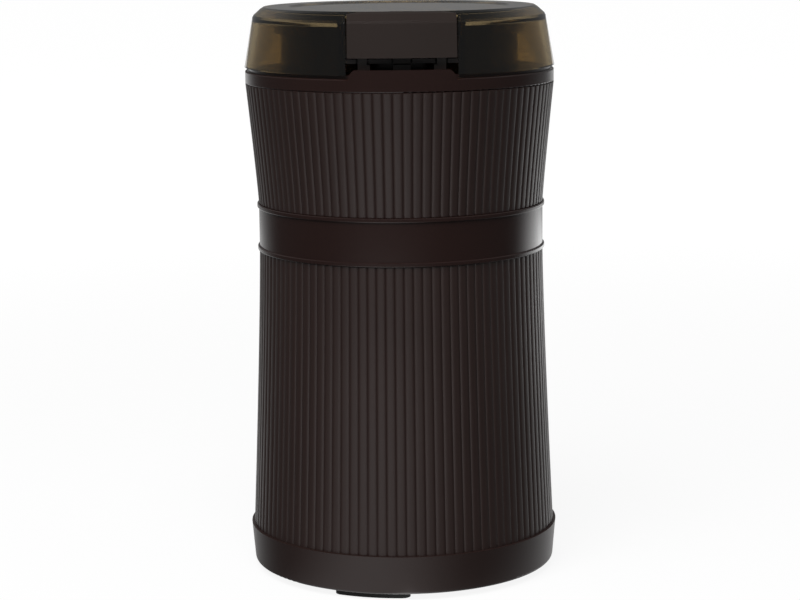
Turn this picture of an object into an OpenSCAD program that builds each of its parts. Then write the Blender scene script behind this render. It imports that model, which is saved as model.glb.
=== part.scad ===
// Electric spice and coffee grinder: a reeded, waisted body with a clear lift-off lid and a press tab.
// Millimetres. The table is at z = 0, the axis of the motor is Z, and the press tab faces -Y.

/* [Feet] */
// Height of the feet under the base
foot_h = 1.8; // [1.2:0.1:3]
// Distance from the base's edge in to the feet
foot_inset = 2.8; // [2:0.1:4]
// Radial width of one foot
foot_w = 5; // [4:0.5:6]
// Angle that one foot spans
foot_span = 32; // [20:1:36]
// Turn of the first foot away from the front
foot_turn = -14.5; // [-16:0.5:-10]
// Depth that a foot sits in its pocket
foot_seat = 0.8; // [0.5:0.1:1.1]

/* [Base cover] */
// How far the base stands proud of the reeds at its seam
base_step = 0.5; // [0.2:0.1:1]
// How much the base narrows towards the table
base_draft = 0.9; // [0.4:0.1:1.4]
// Height to spare over and under the cord outlet
base_spare = 0.2; // [0.2:0.1:4]
// Wall of the base
base_wall = 2.2; // [1.8:0.1:2.4]
// Floor of the base
base_floor = 2.2; // [2:0.1:2.4]
// Rounding of the bottom edge
base_edge = 1; // [0.4:0.1:1.4]
// Number of long cooling slots in the floor
vent_count = 26; // [16:2:30]
// Width of a cooling slot
vent_w = 1.8; // [1.2:0.1:2.2]

/* [Lower housing] */
// Height of the lower reeded shell
lower_h = 83.1; // [81:0.1:92]
// How far the lower shell flares out from the waist to the base
lower_flare = 3.45; // [2.8:0.05:5]
// Bend of the lower flare, where 1 is a straight cone
lower_bend = 1.25; // [1:0.05:1.5]
// Wall behind the reeds
shell_wall = 2.1; // [1.6:0.1:2.2]

/* [Upper housing] */
// Height of the upper reeded shell
upper_h = 35.3; // [34.5:0.1:42]
// Radius over the reeds at the collar, which the whole body follows
upper_top_r = 45.45; // [43:0.05:50]
// How far the upper shell draws in from the collar to the waist
upper_flare = 3.3; // [3:0.05:3.6]
// Bend of the upper flare
upper_bend = 1.1; // [1:0.05:1.2]

/* [Reeds] */
// Number of reeds round the body
reed_count = 100; // [60:2:110]
// Height of a reed over its groove
reed_depth = 0.55; // [0.3:0.05:0.6]
// Length over which a reed fades out at its ends
reed_fade = 1.2; // [0.6:0.1:3]

/* [Waist band] */
// Height of the band
band_h = 13.9; // [13:0.1:20]
// Thickness of the band
band_t = 1.2; // [0.8:0.1:1.4]
// How far the two lips stand proud of the band
lip_t = 0.5; // [0.2:0.05:0.8]
// Height of a lip
lip_h = 1.3; // [0.8:0.1:2]

/* [Collar] */
// Visible height of the collar
collar_h = 3.8; // [3.4:0.1:6]
// Shadow gap between the collar and the lid
lid_gap = 1; // [0.6:0.1:1.6]
// Distance from the collar's edge in to the neck that the lid sits over
neck_inset = 10.55; // [10.35:0.05:11]
// Height of the neck over the ledge
neck_h = 13.9; // [12:0.1:14.3]
// Wall of the neck and of the tub under it
neck_wall = 1.8; // [1.5:0.1:1.9]
// Height of the raised tongue over the ledge
tongue_h = 1.5; // [1:0.1:2.4]
// How much narrower the tongue's top is than the tab, on each side
tongue_inset = 1.65; // [1.4:0.05:3]

/* [Lid] */
// Height of the lid's top over the neck
lid_head = 3.5; // [3.1:0.1:8]
// How far the lid's bottom edge stands proud of the collar
lid_step = 0.15; // [0:0.05:0.6]
// How far the lid draws in up to its shoulder
shoulder_inset = 2.5; // [1.8:0.1:2.8]
// Height of the bevel over the shoulder
shoulder_h = 3.1; // [2.6:0.1:4]
// How far the rim round the top lies inside the bottom edge
rim_inset = 5.8; // [4.8:0.1:6]
// Wall of the lid
lid_wall = 2; // [1.6:0.1:2.2]
// Thickness of the lid's top plate
lid_plate = 2; // [1.6:0.1:2.2]
// Radius of the shallow recess in the top
recess_r = 32; // [20:0.5:35]
// Depth of that recess
recess_depth = 0.8; // [0.4:0.1:1]

/* [Press tab] */
// Width of the tab
tab_w = 30.5; // [30:0.1:32]
// Gap beside the tab
tab_side_gap = 0.4; // [0.4:0.1:0.8]
// Travel of the tab
tab_travel = 3; // [2:0.1:3.2]
// Gap left under the tab when it is pressed
tab_floor_gap = 0.3; // [0.2:0.1:1]
// Radius of the tab's front face
tab_face_r = 70; // [60:1:90]
// Wall of the tab
tab_wall = 1.6; // [1.2:0.1:1.7]

/* [Bowl] */
// Depth of the steel bowl
bowl_depth = 42; // [40:0.5:44]
// Thickness of its sheet
bowl_sheet = 0.7; // [0.5:0.1:0.8]
// Radius of the corner at its floor
bowl_corner_r = 6; // [3:0.5:9]
// Radius that the blade sweeps
blade_r = 28; // [22:0.5:29]
// Width of the blade
blade_w = 10; // [8:0.5:12]
// Thickness of the blade
blade_t = 1.4; // [1:0.1:2]
// Twist of the blade's wings
blade_twist = 16; // [8:1:20]

/* [Motor] */
// Radius of the motor shaft
shaft_r = 3; // [2.8:0.05:3.1]
// Width of the field stack
stack_w = 58; // [57:0.5:60]
// Depth of the field stack
stack_d = 44; // [42:0.5:46]
// Height of the field stack
stack_h = 20; // [18:0.5:24]
// Radius of the armature
armature_r = 14.4; // [14:0.1:14.6]
// Air gap round the armature
air_gap = 0.5; // [0.4:0.05:0.7]
// Number of armature slots
slot_count = 12; // [8:1:14]
// Radius of the commutator
commutator_r = 8.5; // [8:0.1:9]
// Height of the commutator
commutator_h = 12; // [11:0.5:13]
// Gap between the cooling fan and the bracket's legs
fan_gap = 2.2; // [1:0.1:4]
// Height of the fan's blades
fan_h = 6.8; // [5:0.2:7]
// Number of fan blades
fan_blades = 11; // [7:1:13]

/* [Switch] */
// Width of the microswitch body
switch_w = 19.8; // [19:0.1:20.5]
// Height of the microswitch body
switch_h = 10.2; // [9.8:0.1:10.6]
// Thickness of the microswitch body
switch_t = 6.4; // [6:0.1:6.8]
// Width of the plunger's head
plunger_w = 4.9; // [4:0.1:5.2]
// Radius of the plunger's rod
rod_r = 1.4; // [1.2:0.05:1.5]

/* [Cord inlet] */
// Radius of the gland's bore, for a round mains lead
gland_bore_r = 3.25; // [2.8:0.05:3.3]
// Turn of the inlet away from the back
cord_turn = 14; // [12:0.5:16]

/* [Fits] */
// Radial clearance of the shaft in its bushes
running_fit = 0.05; // [0.03:0.01:0.08]
// Radial clearance of a piece seated in another
seat_fit = 0.1; // [0.05:0.01:0.15]
// Clearance round pieces that slide past each other
slide_fit = 0.45; // [0.35:0.05:0.5]

/* [Hidden] */

$fn = 96;
cut = 1;            // overshoot of a cutting shape past the face it cuts
far = 100;          // longer than any part of the body, for shapes that only cut

// Plain screws: shank, head and the clearance of their holes
screw_r = 1.7;
head_r = 3.1;
head_h = 2.2;
small_screw_r = 1.2;
small_head_r = 2.1;
small_head_h = 1.4;
hole_fit = 0.2;     // round a shank that passes through
thread_fit = 0.03;  // round a shank that bites
boss_wall = 2.2;    // plastic round a screw

// What holds the shells together
spigot_t = 1.6;
spigot_h = 3.4;
flange_t = 3;
web_t = 2;
lug_h = 3;
lug_r = screw_r + boss_wall;
lap_h = 4;
lap_t = 1.4;
lap_root = 3;

// Radii that follow the top of the upper shell
waist_r = upper_top_r - upper_flare;
lower_bottom_r = waist_r + lower_flare;
base_top_r = lower_bottom_r + base_step;
base_bottom_r = base_top_r - base_draft;
foot_r = base_bottom_r - foot_inset;
collar_r = upper_top_r;
neck_r = collar_r - neck_inset;
lid_r = collar_r + lid_step;
shoulder_r = lid_r - shoulder_inset;
rim_r = lid_r - rim_inset;

// Heights from the table up
base_z = foot_h;
gland_flange_r = gland_bore_r + 1.25;
base_h = base_floor + 2 * gland_flange_r + base_spare;
lid_h = neck_h + lid_head;
floor_top_z = base_z + base_floor;
lower_z = base_z + base_h;
band_z = lower_z + lower_h;
split_z = band_z + band_h / 2;
upper_z = band_z + band_h;
collar_z = upper_z + upper_h;
ledge_z = collar_z + collar_h + lid_gap;
neck_z = ledge_z + neck_h;
bowl_floor_z = neck_z - bowl_depth;
tub_floor = 3;
tub_z = bowl_floor_z - bowl_sheet - tub_floor;

// Shell radii
shell_depth = reed_depth + shell_wall;
lower_in_r = lower_bottom_r - shell_depth;
waist_in_r = waist_r - shell_depth;
upper_in_r = upper_top_r - shell_depth;
band_in_r = waist_r - band_t;

/* ---------- shared shapes ---------- */

// A tube standing on z = 0
module tube(r_out, r_in, h) {
  difference() {
    cylinder(r = r_out, h = h);
    translate([0, 0, -cut])
      cylinder(r = r_in, h = h + 2 * cut);
  }
}

// Copies the children round Z, each with its X axis pointing outwards
module around(count, turn = 0) {
  for (i = [0:count - 1])
    rotate([0, 0, turn + i * 360 / count])
      children();
}

// A strip of a revolved section whose outer corners are rounded
module outer_rounded(x0, x1, y0, y1, r) {
  translate([x0, y0])
    square([x1 - x0 - r, y1 - y0]);
  translate([x0, y0 + r])
    square([x1 - x0, y1 - y0 - 2 * r]);
  for (y = [y0 + r, y1 - r])
    translate([x1 - r, y])
      circle(r);
}

module rounded_rectangle(w, d, r) {
  square([w - 2 * r, d], center = true);
  square([w, d - 2 * r], center = true);
  for (x = [-1, 1], y = [-1, 1])
    translate([x * (w / 2 - r), y * (d / 2 - r)])
      circle(r);
}

// A slot lying along X with round ends, as a cutter
module slot(length, width, h) {
  linear_extrude(h) {
    square([length - width, width], center = true);
    for (x = [-1, 1])
      translate([x * (length - width) / 2, 0])
        circle(width / 2);
  }
}

// A pan-head screw with a cross recess: the head's top is at z = 0 and the shank points up
module screw(r, r_head, h_head, length) {
  difference() {
    union() {
      cylinder(r = r_head, h = h_head);
      cylinder(r = r, h = h_head + length);
    }
    translate([0, 0, -cut])
      linear_extrude(h_head / 2 + cut)
        for (a = [0, 90])
          rotate(a)
            square([r_head * 1.3, r_head * 0.28], center = true);
  }
}

// Faces of a stack of rings of n points each, closed at both ends
function stack_faces(rings, n) = concat(
  [[for (j = [0:n - 1]) j]],
  [[for (j = [n - 1:-1:0]) (rings - 1) * n + j]],
  [for (i = [0:rings - 2], j = [0:n - 1]) [i * n + j, (i + 1) * n + j, (i + 1) * n + (j + 1) % n]],
  [for (i = [0:rings - 2], j = [0:n - 1]) [i * n + j, (i + 1) * n + (j + 1) % n, i * n + (j + 1) % n]]
);

// A coil spring standing on z = 0
coil_sides = 5;
coil_steps = 9;
module coil(r, wire_r, h, turns) {
  rings = turns * coil_steps + 1;
  points = [
    for (i = [0:rings - 1], j = [0:coil_sides - 1])
      let (a = 360 * i / coil_steps,
        b = 360 * j / coil_sides,
        reach = r + wire_r * sin(b),
        z = wire_r + (h - 2 * wire_r) * i / (rings - 1) + wire_r * cos(b))
      [reach * cos(a), reach * sin(a), z]
  ];
  polyhedron(points, stack_faces(rings, coil_sides));
}

/* ---------- feet and base cover ---------- */

foot_angles = [for (i = [0:2]) -90 + foot_turn + 120 * i];
foot_peg_r = 1.6;

// Outline of a foot or of its pocket, grown by a margin
module foot_outline(margin) {
  mid_r = foot_r - foot_w / 2;
  half = foot_w / 2 + margin;
  end = foot_span / 2 - asin(foot_w / 2 / mid_r);
  intersection() {
    difference() {
      circle(mid_r + half);
      circle(mid_r - half);
    }
    polygon([[0, 0], far * [cos(end), -sin(end)], far * [1.2, 0], far * [cos(end), sin(end)]]);
  }
  for (a = [-end, end])
    rotate(a)
      translate([mid_r, 0])
        circle(half);
}

module rubber_feet() {
  color("#1b1a1a")
    for (a = foot_angles)
      rotate([0, 0, a]) {
        linear_extrude(foot_h + foot_seat)
          foot_outline(0);
        translate([foot_r - foot_w / 2, 0, foot_h])
          cylinder(r = foot_peg_r, h = base_floor);
      }
}

screw_angles = [for (i = [0:2]) foot_angles[i] + 60];
screw_inset = 8.45;                      // from the lower shell's inside in to a base screw
base_screw_r = lower_in_r - screw_inset;
base_screw_l = 14;
base_pocket = 3.2;                       // depth of the pocket for a base screw's head
base_boss_z = base_z + base_pocket + 2;  // where the lower shell's posts end
base_boss_h = 19;
boss_t = 1.6;                            // wall round a screw's head

vent_l = 11;
vent_mid_r = 22.5;
vent_inner_l = 7;
vent_inner_r = 10.5;

// Section of the base: a slight taper with a rounded bottom edge
module base_section() {
  e = base_edge;
  difference() {
    union() {
      polygon([[0, 0], [base_bottom_r - e, 0], [base_bottom_r - e, e], [base_bottom_r, e],
        [base_top_r, base_h], [0, base_h]]);
      translate([base_bottom_r - e, e])
        circle(e);
    }
    polygon([[-cut, base_floor], [base_bottom_r - base_wall, base_floor],
      [base_top_r - base_wall, base_h + cut], [-cut, base_h + cut]]);
    translate([-far, -cut])
      square([far, far]);
  }
}

module base_cover() {
  spigot_r = lower_r(lower_z + spigot_h) - shell_depth - seat_fit;
  spigot_root = 2;
  color("#2a201e")
    difference() {
      union() {
        difference() {
          translate([0, 0, base_z])
            rotate_extrude()
              base_section();
          around(vent_count)
            translate([vent_mid_r, 0, base_z - cut])
              slot(vent_l, vent_w, base_floor + 2 * cut);
          around(vent_count / 2)
            translate([vent_inner_r, 0, base_z - cut])
              slot(vent_inner_l, vent_w, base_floor + 2 * cut);
        }
        // Spigot that centres the lower shell
        translate([0, 0, lower_z - spigot_root]) {
          tube(spigot_r, spigot_r - spigot_t, spigot_h + spigot_root);
          tube(base_top_r - base_wall / 2, spigot_r - spigot_t, spigot_root);
        }
        for (a = screw_angles)
          rotate([0, 0, a])
            translate([base_screw_r, 0, base_z + base_floor / 2])
              cylinder(r = head_r + hole_fit + boss_t, h = base_boss_z - floor_top_z + base_floor / 2);
        clamp_posts();
        tray(suppressor_x, suppressor_size);
        tray(terminal_x, terminal_size);
      }
      for (a = screw_angles)
        rotate([0, 0, a])
          translate([base_screw_r, 0, base_z - cut]) {
            cylinder(r = head_r + hole_fit, h = base_pocket + cut);
            cylinder(r = screw_r + hole_fit, h = base_boss_z - base_z + 2 * cut);
          }
      for (a = foot_angles)
        rotate([0, 0, a])
          translate([0, 0, base_z - cut]) {
            linear_extrude(foot_seat + cut)
              foot_outline(seat_fit);
            translate([foot_r - foot_w / 2, 0, 0])
              cylinder(r = foot_peg_r + seat_fit, h = base_floor + 2 * cut);
          }
      gland_seat();
    }
}

// Low walls on the floor that hold a boxed piece
tray_wall = 1.2;
tray_h = 4;
module tray(x, size) {
  translate([x, tray_y, floor_top_z - base_floor / 2])
    linear_extrude(tray_h + base_floor / 2)
      difference() {
        square([size[0] + 2 * (tray_wall + seat_fit), size[1] + 2 * (tray_wall + seat_fit)],
          center = true);
        square([size[0] + 2 * seat_fit, size[1] + 2 * seat_fit], center = true);
      }
}

module base_screws() {
  color("silver")
    for (a = screw_angles)
      rotate([0, 0, a])
        translate([base_screw_r, 0, base_z + base_pocket - head_h])
          screw(screw_r, head_r, head_h, base_screw_l);
}

/* ---------- cord inlet and what lies in the base ---------- */

cord_angle = 90 + cord_turn;
gland_z = floor_top_z + gland_flange_r + base_spare / 2;
gland_neck_r = gland_bore_r + 0.6;
gland_face = base_bottom_r + 0.3;        // outer end of the gland, along the cord
gland_rim = 1.1;
gland_groove = 1.4;
gland_l = 8.6;

module along_cord() {
  rotate([0, 0, cord_angle])
    translate([0, 0, gland_z])
      rotate([0, 90, 0])
        children();
}

module gland_seat() {
  along_cord() {
    translate([0, 0, gland_face - gland_rim])
      cylinder(r = gland_flange_r + seat_fit, h = far);
    translate([0, 0, gland_face - gland_l])
      cylinder(r = gland_neck_r + seat_fit, h = far);
  }
  // Room in the spigot for the gland's inner flange
  room = gland_flange_r + hole_fit;
  inner = gland_face - gland_rim - gland_groove;
  rotate([0, 0, cord_angle])
    translate([inner - gland_l, -room, floor_top_z])
      cube([gland_l, 2 * room, far]);
}

module cord_gland() {
  color("#1d1b1a")
    along_cord()
      difference() {
        union() {
          translate([0, 0, gland_face - gland_rim])
            cylinder(r = gland_flange_r, h = gland_rim);
          translate([0, 0, gland_face - gland_l])
            cylinder(r = gland_neck_r, h = gland_l);
          translate([0, 0, gland_face - 2 * gland_rim - gland_groove])
            cylinder(r = gland_flange_r, h = gland_rim);
        }
        translate([0, 0, gland_face - gland_l - cut])
          cylinder(r = gland_bore_r, h = gland_l + 2 * cut);
      }
}

clamp_d = 6;
clamp_gap = 1.9;    // between the clamp and the gland
clamp_r = gland_face - gland_l - clamp_gap - clamp_d / 2;
clamp_x = 7;        // distance of a clamp screw from the cord
clamp_roof = 1.3;
post_r = small_screw_r + 1.4;
cord_r = gland_bore_r - 0.15;

module clamp_posts() {
  rotate([0, 0, cord_angle]) {
    for (side = [-1, 1])
      translate([clamp_r, side * clamp_x, floor_top_z - base_floor / 2])
        difference() {
          cylinder(r = post_r, h = gland_z - floor_top_z + base_floor / 2);
          translate([0, 0, base_floor])
            cylinder(r = small_screw_r + thread_fit, h = far);
        }
    // Saddle under the cord
    translate([clamp_r - clamp_d / 2, -2, floor_top_z - base_floor / 2])
      cube([clamp_d, 4, gland_z - cord_r - floor_top_z + base_floor / 2]);
  }
}

module cord_clamp() {
  half = clamp_x + post_r;
  color("#2b2a29")
    rotate([0, 0, cord_angle])
      difference() {
        translate([clamp_r - clamp_d / 2, -half, gland_z])
          cube([clamp_d, 2 * half, cord_r + clamp_roof]);
        translate([0, 0, gland_z])
          rotate([0, 90, 0])
            cylinder(r = cord_r, h = far);
        for (side = [-1, 1])
          translate([clamp_r, side * clamp_x, gland_z - cut])
            cylinder(r = small_screw_r + hole_fit, h = far);
      }
}

module clamp_screws() {
  length = cord_r + clamp_roof + gland_z - floor_top_z - base_floor;
  color("silver")
    rotate([0, 0, cord_angle])
      for (side = [-1, 1])
        translate([clamp_r, side * clamp_x, gland_z + cord_r + clamp_roof + small_head_h])
          mirror([0, 0, 1])
            screw(small_screw_r, small_head_r, small_head_h, length);
}

tray_y = 3;
suppressor_x = -14;
suppressor_size = [10, 26.5, 17];
terminal_x = 14;
terminal_size = [13, 27, 12];
terminal_poles = 3;

module suppressor() {
  color("#d8c36a")
    translate([suppressor_x, tray_y, floor_top_z])
      difference() {
        linear_extrude(suppressor_size[2])
          rounded_rectangle(suppressor_size[0], suppressor_size[1], 0.8);
        // Potting recess
        translate([0, 0, suppressor_size[2] - 0.8])
          linear_extrude(cut + 0.8)
            rounded_rectangle(suppressor_size[0] - 2, suppressor_size[1] - 2, 0.6);
      }
}

module terminal_block() {
  pole = terminal_size[1] / terminal_poles;
  color("#e6e2d8")
    translate([terminal_x, tray_y, floor_top_z])
      difference() {
        union() {
          linear_extrude(terminal_size[2] * 0.55)
            square([terminal_size[0], terminal_size[1]], center = true);
          for (i = [0:terminal_poles - 1])
            translate([0, (i - (terminal_poles - 1) / 2) * pole, 0])
              linear_extrude(terminal_size[2])
                rounded_rectangle(terminal_size[0] * 0.75, pole - 1.6, 1.5);
        }
        for (i = [0:terminal_poles - 1])
          translate([0, (i - (terminal_poles - 1) / 2) * pole, terminal_size[2] * 0.3]) {
            rotate([0, 90, 0])
              cylinder(r = 1.5, h = far, center = true);
            for (x = [-1, 1])
              translate([x * 2.3, 0, 0])
                cylinder(r = 1.5, h = far);
          }
      }
}

/* ---------- the reeded shells ---------- */

// Radius of a flare from its narrow end, t = 0, to its wide end, t = 1
function flare(narrow, wide, bend, t) = narrow + (wide - narrow) * pow(t, bend);
function lower_r(z) = flare(waist_r, lower_bottom_r, lower_bend, (band_z - z) / lower_h);
function upper_r(z) = flare(waist_r, upper_top_r, upper_bend, (z - upper_z) / upper_h);

// Share of a reed's height at each of its points, from groove to crest and back
reed_shape = [0, 0.78, 1, 0.78];

// heights: the rings of the skin; radii: over the crests; grown: how far the reeds are up at each ring
module reeded_skin(heights, radii, grown) {
  n = reed_count * len(reed_shape);
  points = [
    for (i = [0:len(heights) - 1], j = [0:n - 1])
      let (r = radii[i] - reed_depth * (1 - reed_shape[j % len(reed_shape)] * grown[i]),
        a = 360 * j / n)
      [r * cos(a), r * sin(a), heights[i]]
  ];
  polyhedron(points, stack_faces(len(heights), n));
}

module lower_housing() {
  heights = [lower_z, lower_z + reed_fade, lower_z + lower_h * 0.3, lower_z + lower_h * 0.65,
    band_z - reed_fade, band_z];
  inside = [for (t = [0:0.2:1]) [lower_r(lower_z + lower_h * t) - shell_depth, lower_z + lower_h * t]];
  color("#2c2321")
    difference() {
      union() {
        difference() {
          union() {
            reeded_skin(heights, [for (z = heights) lower_r(z)], [0, 1, 1, 1, 1, 0]);
            translate([0, 0, band_z - cut])
              cylinder(r = band_in_r - seat_fit, h = split_z - band_z + cut);
          }
          rotate_extrude()
            polygon(concat(
              [[0, lower_z - cut], [lower_in_r, lower_z - cut]],
              inside,
              [[waist_in_r, split_z + cut], [0, split_z + cut]]
            ));
        }
        base_screw_posts();
        housing_screw_lugs();
      }
      for (a = screw_angles)
        rotate([0, 0, a])
          translate([base_screw_r, 0, base_boss_z - cut])
            cylinder(r = screw_r + thread_fit, h = base_screw_l + 2 * cut);
      around(joint_screws, joint_turn)
        translate([joint_screw_r, 0, lug_z - cut])
          cylinder(r = screw_r + hole_fit, h = lug_h + 2 * cut);
    }
}

// Posts for the base screws, webbed to the shell above the base's spigot
module base_screw_posts() {
  web_z = lower_z + spigot_h + cut;
  for (a = screw_angles)
    rotate([0, 0, a]) {
      translate([base_screw_r, 0, base_boss_z])
        cylinder(r = lug_r, h = base_boss_h);
      translate([base_screw_r, -web_t / 2, web_z])
        cube([lower_in_r - base_screw_r, web_t, base_boss_z + base_boss_h - web_z]);
    }
}

// Lugs at the waist that the housing screws pass through
joint_screws = 3;
joint_turn = 90;
joint_screw_r = waist_in_r - lug_r - 0.2;
joint_screw_l = 12;
lug_z = split_z - lap_h - lug_h;
module housing_screw_lugs() {
  around(joint_screws, joint_turn)
    translate([joint_screw_r, 0, lug_z])
      linear_extrude(lug_h) {
        circle(lug_r);
        translate([0, -lug_r])
          square([waist_in_r - joint_screw_r + shell_wall / 2, 2 * lug_r]);
      }
}

module upper_housing() {
  heights = [upper_z, upper_z + reed_fade, upper_z + upper_h / 2, collar_z - reed_fade, collar_z];
  inside = [for (t = [0:0.25:1]) [upper_r(upper_z + upper_h * t) - shell_depth, upper_z + upper_h * t]];
  sleeve_r = waist_in_r - seat_fit;
  color("#2c2321")
    difference() {
      union() {
        difference() {
          union() {
            reeded_skin(heights, [for (z = heights) upper_r(z)], [0, 1, 1, 1, 0]);
            translate([0, 0, split_z])
              cylinder(r = band_in_r - seat_fit, h = upper_z - split_z + cut);
          }
          rotate_extrude()
            polygon(concat(
              [[0, split_z - cut], [waist_in_r, split_z - cut]],
              inside,
              [[upper_in_r, collar_z + cut], [0, collar_z + cut]]
            ));
        }
        // Sleeve that laps into the lower shell
        translate([0, 0, split_z - lap_h])
          tube(sleeve_r, sleeve_r - lap_t, lap_h + lap_root);
        translate([0, 0, split_z])
          tube(waist_in_r + seat_fit, sleeve_r - lap_t, lap_root);
        around(joint_screws, joint_turn) {
          translate([joint_screw_r, 0, split_z - lap_h])
            cylinder(r = lug_r, h = joint_screw_l + 2);
          translate([joint_screw_r, -web_t / 2, split_z])
            cube([waist_in_r + shell_wall / 2 - joint_screw_r, web_t, joint_screw_l + 2 - lap_h]);
        }
        collar_screw_lugs();
      }
      around(joint_screws, joint_turn)
        translate([joint_screw_r, 0, split_z - lap_h - cut])
          cylinder(r = screw_r + thread_fit, h = joint_screw_l - lug_h + 2 * cut);
      around(collar_screws_n, collar_turn)
        translate([collar_screw_r, 0, collar_lug_z - cut])
          cylinder(r = small_screw_r + hole_fit, h = lug_h + 2 * cut);
    }
}

// Lugs inside the upper shell that hold the collar's posts
collar_screws_n = 4;
collar_turn = 45;
collar_post_r = 2.6;
collar_screw_r = neck_r + collar_post_r + 0.4;
collar_screw_l = 10;
collar_lug_rise = 11.8;
collar_lug_z = upper_z + collar_lug_rise;
module collar_screw_lugs() {
  reach = upper_r(collar_lug_z) - reed_depth - shell_wall / 2 - collar_screw_r;
  around(collar_screws_n, collar_turn)
    translate([collar_screw_r, 0, collar_lug_z])
      linear_extrude(lug_h) {
        circle(collar_post_r);
        translate([0, -collar_post_r])
          square([reach, 2 * collar_post_r]);
      }
}

module housing_screws() {
  color("silver")
    around(joint_screws, joint_turn)
      translate([joint_screw_r, 0, lug_z - head_h])
        screw(screw_r, head_r, head_h, joint_screw_l);
}

module waist_band() {
  edge = 0.3;
  color("#2a201e")
    translate([0, 0, band_z])
      rotate_extrude() {
        translate([band_in_r, 0])
          square([band_t, band_h]);
        outer_rounded(band_in_r, waist_r + lip_t, 0, lip_h, edge);
        outer_rounded(band_in_r, waist_r + lip_t, band_h - lip_h, band_h, edge);
      }
}

/* ---------- collar, neck and tub ---------- */

ledge_step = 1;                 // how far the ledge lies inside the collar
tongue_t = 1.8;
rim_fold = 1.2;                 // reach of the bowl's rim over the neck
rim_seat = bowl_sheet + 0.1;    // depth of its seat
motor_post_h = 10.5;
bush_hole_r = 5.8;

module top_collar() {
  spigot_r = upper_r(collar_z - spigot_h) - shell_depth - seat_fit;
  neck_in_r = neck_r - neck_wall;
  edge = 0.4;
  color("#2a201e")
    difference() {
      union() {
        rotate_extrude() {
          outer_rounded(spigot_r - spigot_t, collar_r, collar_z, collar_z + collar_h, edge);
          translate([spigot_r - spigot_t, collar_z - spigot_h])
            square([spigot_t, spigot_h + cut]);
          translate([neck_in_r, ledge_z - flange_t])
            square([collar_r - ledge_step - neck_in_r, flange_t]);
          outer_rounded(neck_in_r, neck_r, tub_z, neck_z, edge);
          translate([0, tub_z])
            square([neck_in_r + edge, tub_floor]);
        }
        tongue();
        around(collar_screws_n, collar_turn) {
          post_z = collar_lug_z + lug_h;
          translate([collar_screw_r, 0, post_z])
            cylinder(r = collar_post_r, h = ledge_z - cut - post_z);
          translate([neck_r - neck_wall / 2, -web_t / 2, post_z])
            cube([collar_screw_r - neck_r + neck_wall / 2, web_t, ledge_z - cut - post_z]);
        }
        around(4, motor_screw_turn)
          translate([motor_screw_r, 0, tub_z - motor_post_h])
            cylinder(r = lug_r, h = motor_post_h + cut);
        switch_plate();
        plunger_guide();
      }
      // Seat of the bowl's rim
      translate([0, 0, neck_z - rim_seat])
        cylinder(r = neck_in_r + rim_fold, h = far);
      // Bushing and gasket
      translate([0, 0, tub_z - cut])
        cylinder(r = bush_hole_r, h = far);
      translate([0, 0, tub_z + tub_floor - gasket_t])
        tube(gasket_r + seat_fit, gasket_in_r - seat_fit, far);
      around(collar_screws_n, collar_turn)
        translate([collar_screw_r, 0, collar_lug_z])
          cylinder(r = small_screw_r + thread_fit, h = collar_screw_l + cut);
      around(4, motor_screw_turn)
        translate([motor_screw_r, 0, tub_z - motor_post_h - cut])
          cylinder(r = screw_r + thread_fit, h = motor_post_h + cut);
      // Pockets for the tab's legs, and the plunger's hole
      for (side = [0, 1])
        mirror([side, 0, 0])
          leg_slot(ledge_z - flange_t - 0.8, far);
      translate([-plunger_w / 2, plunger_y - plunger_d / 2, ledge_z - flange_t - cut])
        translate([-slide_fit, -slide_fit, 0])
          cube([plunger_w + 2 * slide_fit, plunger_d + 2 * slide_fit, far]);
      for (side = [0, 1])
        mirror([side, 0, 0])
          switch_screw_hole(small_screw_r - 0.2 + thread_fit);
      translate([0, plunger_y, guide_z - cut])
        cylinder(r = rod_r + slide_fit - 0.1, h = guide_t + 2 * cut);
    }
}

// Raised part of the collar under the press tab, with sloping ends
module tongue() {
  top = ledge_z + tongue_h;
  foot = collar_z + collar_h - 0.5;
  half = tab_w / 2 - tongue_inset;
  intersection() {
    translate([0, 0, foot])
      tube(collar_r, collar_r - tongue_t, top - foot);
    rotate([90, 0, 0])
      linear_extrude(far)
        for (side = [0, 1])
          mirror([side, 0])
            polygon([[0, foot], [half + 1.6, foot], [half + 1.1, top - 1.4],
              [half + 0.5, top - 0.5], [half - 0.3, top], [0, top]]);
  }
}

module collar_screws() {
  color("silver")
    around(collar_screws_n, collar_turn)
      translate([collar_screw_r, 0, collar_lug_z - small_head_h])
        screw(small_screw_r, small_head_r, small_head_h, collar_screw_l);
}

/* ---------- bowl and blade ---------- */

gasket_t = 0.8;
gasket_in_r = 7;
gasket_r = 11;
bush_flange_r = 8;
bush_flange_t = 1.2;
nut_h = 3.5;
nut_flats_r = 8;
seal_h = 1;
hub_gap = 0.3;
hub_h = 2.8;
cap_h = 4;
bore_r = shaft_r + running_fit;
blade_z = bowl_floor_z + bush_flange_t + seal_h + hub_gap + hub_h;

// Half section of a cup with a rounded corner
module cup_section(r, h, corner) {
  square([r - corner, h]);
  translate([0, corner])
    square([r, h - corner]);
  translate([r - corner, corner])
    intersection() {
      circle(corner);
      translate([0, -corner])
        square(corner);
    }
}

module grinding_bowl() {
  bowl_r = neck_r - neck_wall - seat_fit;
  foot_z = bowl_floor_z - bowl_sheet;
  rim_z = neck_z - rim_seat;
  color("#c9c9c6")
    difference() {
      rotate_extrude() {
        difference() {
          translate([0, foot_z])
            cup_section(bowl_r, rim_z + bowl_sheet - foot_z, bowl_corner_r + bowl_sheet);
          translate([0, bowl_floor_z])
            cup_section(bowl_r - bowl_sheet, far, bowl_corner_r);
        }
        outer_rounded(bowl_r - bowl_sheet / 2, bowl_r + rim_fold, rim_z, rim_z + bowl_sheet,
          bowl_sheet * 0.45);
      }
      translate([0, 0, foot_z - cut])
        cylinder(r = bush_hole_r, h = bowl_sheet + 2 * cut);
    }
}

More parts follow.
